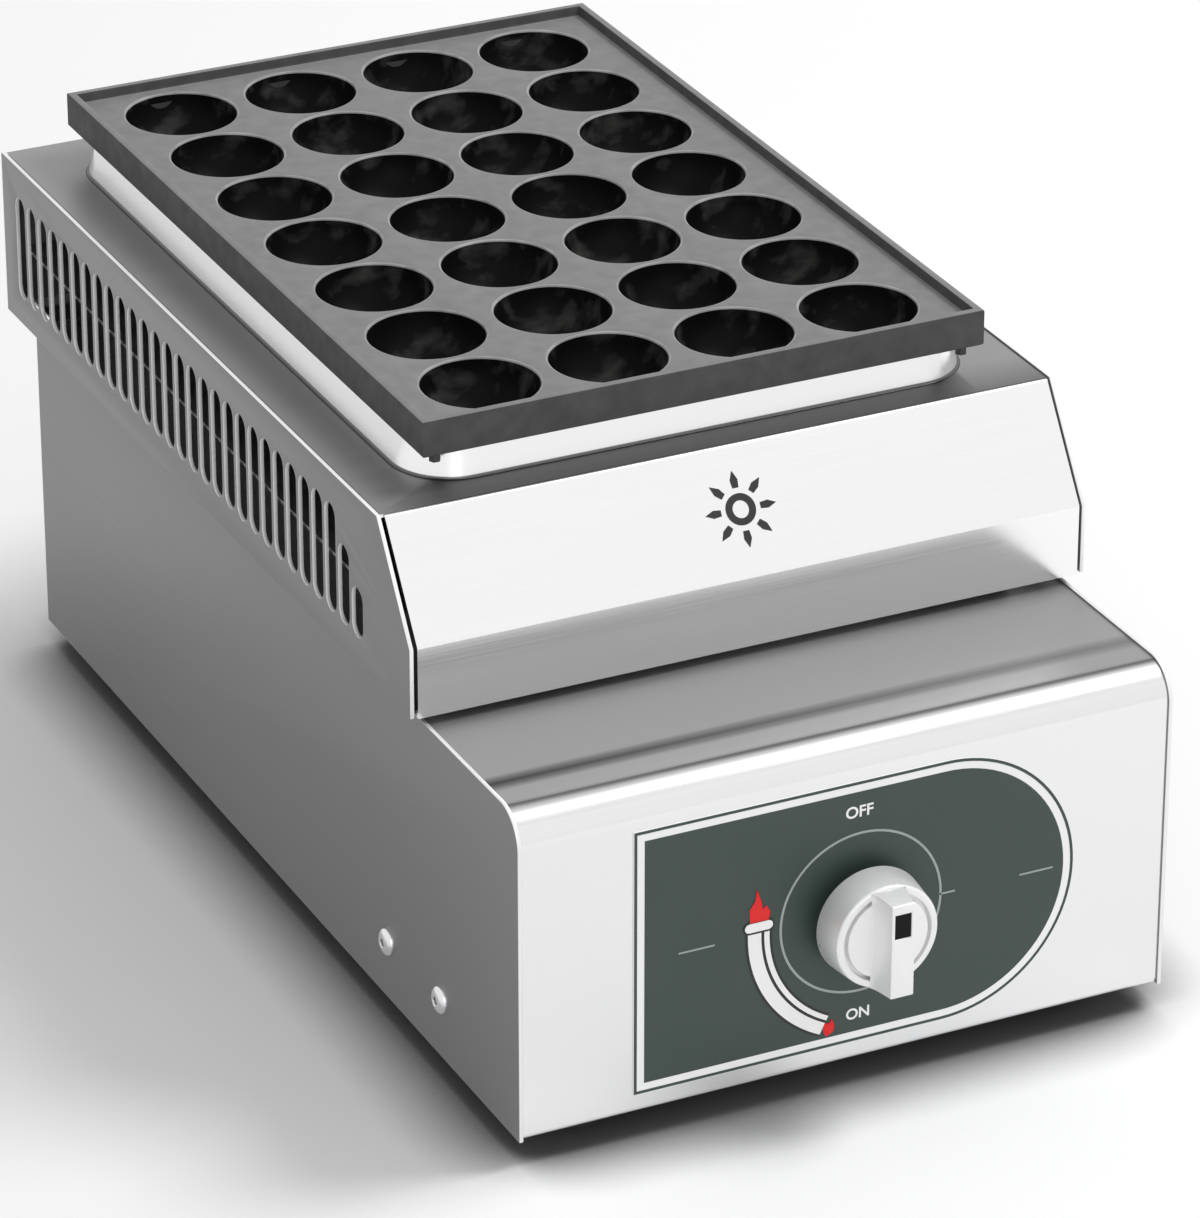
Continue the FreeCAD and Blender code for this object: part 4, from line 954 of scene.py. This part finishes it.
# Knob
knobLook = {
    "depth": 12.5, "faceRadius": 17.9, "skirtRadius": 19.0, "wall": 2.0, "edge": 1.1, "dome": 1.0,
    "grooveIn": 14.0, "grooveWide": 1.3, "grooveDeep": 2.2, "hub": 6.2, "bore": 4.0, "inside": 2.4,
    "grip": 8.0, "gripBase": 12.5, "gripLength": 34, "gripCurve": 0.55, "gripTaper": 0.6, "gripEdge": 0.8,
    "gripSteps": 10, "window": (5.8, 8.6, 0.8),
}


def knobProfile(look, face, back):
    # from the middle of the domed face over the groove and the skirt to the bore: (radius, Y) pairs
    groove, edge = look["grooveIn"], look["edge"]
    grooveEnd, grooveFloor = groove + look["grooveWide"], face + look["grooveDeep"]
    skirt, inside = look["skirtRadius"], face + look["inside"]
    profile = [(groove * i / 8, face - look["dome"] * (1 - (i / 8) ** 2)) for i in range(9)]
    profile += [(groove + 0.15, grooveFloor), (grooveEnd, grooveFloor), (grooveEnd + 0.2, face + 0.1)]
    for i in range(6):
        turn = radians(90 * i / 5)
        profile.append((look["faceRadius"] - edge * (1 - sin(turn)), face + edge * (1 - cos(turn))))
    profile += [(skirt, back - 0.5), (skirt - 0.3, back), (skirt - look["wall"], back)]
    profile += [(look["faceRadius"] - look["wall"], inside), (look["hub"], inside), (look["hub"], back)]
    return profile + [(look["bore"], back), (look["bore"], inside + 0.1), (0, inside + 0.1)]


def makeKnob(look):
    back, tip = knobHigh[1], knobLow[1]
    face = back - look["depth"]
    body = newPiece("knobBody", *lathe(knobProfile(look, face, back), (knobX, knobZ), "y", 96), knobPlastic, "knob", 40)
    # the grip bar narrows from the face to its tip
    base, front, root = look["gripBase"] / 2, look["grip"] / 2, face + 0.2
    loops = []
    for i in range(look["gripSteps"] + 1):
        share = i / look["gripSteps"]
        y = root + (tip - root) * share
        wide = base + (front - base) * share ** look["gripCurve"]
        tall = look["gripLength"] / 2 - look["gripTaper"] * share
        loops.append([(knobX + a * wide, y, knobZ + b * tall) for a, b in ((-1, -1), (1, -1), (1, 1), (-1, 1))])
    grip = newPiece("knobGrip", *capped(loops), knobPlastic, "knob", 40)
    width, height, deep = look["window"]
    middle = (markerLow[2] + markerHigh[2]) / 2
    low = (knobX - width / 2, tip - 1, middle - height / 2)
    high = (knobX + width / 2, tip + deep, middle + height / 2)
    cutWith(grip, newTool("windowTool", *boxForm(low, high)))
    bevel(grip, look["gripEdge"], 3, 50)
    grip.data.shade_smooth()
    sharpen(grip, 40)
    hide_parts("knob")


makeKnob(knobLook)
print("knob ready")

# Small pieces
rivetLook = {"places": (58.5, 99.8), "height": 21.2, "radius": 4.7, "dome": 2.3, "hole": 1.35, "rim": 0.35}


def makeRivets(look):
    hole, start, rise = look["hole"], look["hole"] + 0.3, look["dome"] - look["rim"]
    profile = [(0, 0.3), (hole, 0.3), (hole, look["dome"] - 0.25)]
    for i in range(9):
        turn = radians(90 * (1 - i / 8))
        profile.append((start + (look["radius"] - start) * cos(turn), look["rim"] + rise * sin(turn)))
    profile += [(look["radius"] + 0.05, -0.05), (0, -0.05)]
    forms = []
    for sign, face in ((-1, sideLow[0]), (1, farSideHigh[0])):
        for back in look["places"]:
            centre = (frontY + back, sideLow[2] + look["height"])
            forms.append(lathe([(radius, face + sign * out) for radius, out in profile], centre, "x", 32))
    newPiece("sideRivets", *joined(*forms), rivetSteel)


makeRivets(rivetLook)

footLook = {"radius": 10, "recess": 4.05, "edge": 1.2, "flare": 0.8, "bore": 4.2, "head": ((2.4, 1.4), (3.3, 2.2))}


def makeFeet(look):
    bore, edge, recess = look["bore"], look["edge"], look["recess"]
    foot = [(0, recess), (bore, recess), (bore, 0.6), (bore + 0.6, 0)]
    for i in range(5):
        turn = radians(90 * i / 4)
        foot.append((look["radius"] - look["flare"] - edge * (1 - sin(turn)), edge * (1 - cos(turn))))
    foot += [(look["radius"], feetHigh[2] - 0.1), (0, feetHigh[2] - 0.1)]
    head = [(0, 1.2), *look["head"], (3.4, recess + 0.05), (0, recess + 0.05)]
    reach = look["radius"]
    xs, ys = (feetLow[0] + reach, feetHigh[0] - reach), (feetLow[1] + reach, feetHigh[1] - reach)
    places = [(x, y) for x in xs for y in ys]
    piece = newPiece("rubberFeet", *joined(*[lathe(foot, place, "z", 48) for place in places]), blackRubber)
    heads = newPiece("footScrews", *joined(*[lathe(head, place, "z", 24) for place in places]), rivetSteel)
    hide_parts("rubber_feet")


makeFeet(footLook)

# A plain burner sign on the slanted face
signLook = {
    "centreX": 1.0, "rise": 0.5, "inner": 5.2, "stroke": 2.3, "spokes": 8,
    "spoke": ((-1.0, 7.0), (1.0, 7.0), (1.3, 9.6), (0, 12.5), (-1.3, 9.6)),
}


def makeSign(look):
    knee, top, run = hoodLow[2] + hoodLook["bandHeight"], hoodHigh[2], hoodLook["run"]
    lean = atan2(top - knee, run)
    middle = Vector((look["centreX"], hoodLow[1] + coverLook["reveal"] + run * look["rise"],
                     knee + (top - knee) * look["rise"]))
    normal, up = Vector((0, -sin(lean), cos(lean))), Vector((0, cos(lean), sin(lean)))

    def onSlant(loop, holes):
        points, faces = holedPlate(loop, holes, -0.15, 0.22, "z")
        return [tuple(middle + Vector((a, 0, 0)) + up * b + normal * c) for a, b, c in points], faces

    forms = [onSlant(circleLoop(0, 0, look["inner"]), [circleLoop(0, 0, look["inner"] - look["stroke"])])]
    for i in range(look["spokes"]):
        c, s = cos(2 * pi * i / look["spokes"]), sin(2 * pi * i / look["spokes"])
        forms.append(onSlant([(a * c - b * s, a * s + b * c) for a, b in look["spoke"]], []))
    newPiece("burnerSign", *joined(*forms), printedBlack)


makeSign(signLook)
print("small pieces ready")

# Floor, light and camera
# in metres; contact is how dark the floor gets where the object stands, and reach how far that goes
stageLook = {
    "floor": 6.0, "floorColour": 0.97, "world": 0.6, "contact": 0.10, "reach": 0.045, "closed": (0.45, 0.88),
    "samples": 24,
}


def makeFloor(look):
    half, tone = look["floor"] / 2, look["floorColour"]
    mesh = bpy.data.meshes.new("floor")
    mesh.from_pydata([(-half, -half, 0), (half, -half, 0), (half, half, 0), (-half, half, 0)], [], [[0, 1, 2, 3]])
    floor = bpy.data.objects.new("floor", mesh)
    bpy.context.scene.collection.objects.link(floor)
    made, tree, shader = nodeMaterial("floorWhite")
    shader.inputs["Roughness"].default_value = 0.9
    patches = noise(tree, objectSpace(tree), 6.0, 2)
    plain = blendColours(tree, spread(tree, patches, 0, 1), grey(tone - 0.01), grey(tone))
    # the soft dark contact shadow round the foot of the object, which only the camera sees
    closed = tree.nodes.new("ShaderNodeAmbientOcclusion")
    closed.samples = look["samples"]
    closed.inputs["Distance"].default_value = look["reach"]
    shade = tree.nodes.new("ShaderNodeMix")
    shade.inputs["A"].default_value = 1.0
    link(tree, tree.nodes.new("ShaderNodeLightPath").outputs["Is Camera Ray"], shade.inputs["Factor"])
    link(tree, spread(tree, closed.outputs["AO"], look["contact"], 1.0, *look["closed"]), shade.inputs["B"])
    link(tree, darkened(tree, plain, shade.outputs["Result"]), shader.inputs["Base Color"])
    mesh.materials.append(made)


def makeWorld(look):
    # white to the camera and in reflections, dimmer as a light
    world = bpy.data.worlds.new("studio")
    bpy.context.scene.world = world
    world.use_nodes = True
    tree = world.node_tree
    back, path = tree.nodes["Background"], tree.nodes.new("ShaderNodeLightPath")
    back.inputs["Color"].default_value = (1, 1, 1, 1)
    seen = mathNode(tree, "MAXIMUM", path.outputs["Is Camera Ray"], path.outputs["Is Glossy Ray"])
    seen = mathNode(tree, "MAXIMUM", seen, path.outputs["Is Transmission Ray"])
    link(tree, spread(tree, seen, look["world"], 1.0, 0, 1), back.inputs["Strength"])


makeFloor(stageLook)
makeWorld(stageLook)

lampLook = {
    "key": {"place": (1.45, -0.30, 2.35), "size": 1.1, "power": 38},
    "front": {"place": (-0.6, -2.6, 1.2), "size": 1.8, "power": 8},
}


def makeLamps(look):
    for name, lamp in look.items():
        data = bpy.data.lights.new(name, "AREA")
        data.shape = "DISK"
        data.size = lamp["size"]
        data.energy = lamp["power"]
        lampPiece = bpy.data.objects.new(name, data)
        lampPiece.location = lamp["place"]
        aim = Vector((0, 0, 0.1)) - Vector(lamp["place"])
        lampPiece.rotation_euler = aim.to_track_quat("-Z", "Y").to_euler()
        bpy.context.scene.collection.objects.link(lampPiece)


makeLamps(lampLook)

cameraLook = {"place": (-0.846435, -1.780457, 1.070043), "down": 26.673, "turn": 25.659, "lens": 192.97}


def makeCamera(look):
    data = bpy.data.cameras.new("camera")
    data.lens = look["lens"]
    data.sensor_width = 36.0
    data.clip_end = 50
    camera = bpy.data.objects.new("camera", data)
    camera.location = look["place"]
    camera.rotation_euler = Euler((radians(90 - look["down"]), 0, radians(-look["turn"])))
    bpy.context.scene.collection.objects.link(camera)
    bpy.context.scene.camera = camera


makeCamera(cameraLook)
bpy.context.scene.view_settings.view_transform = "Standard"
print("stage ready")
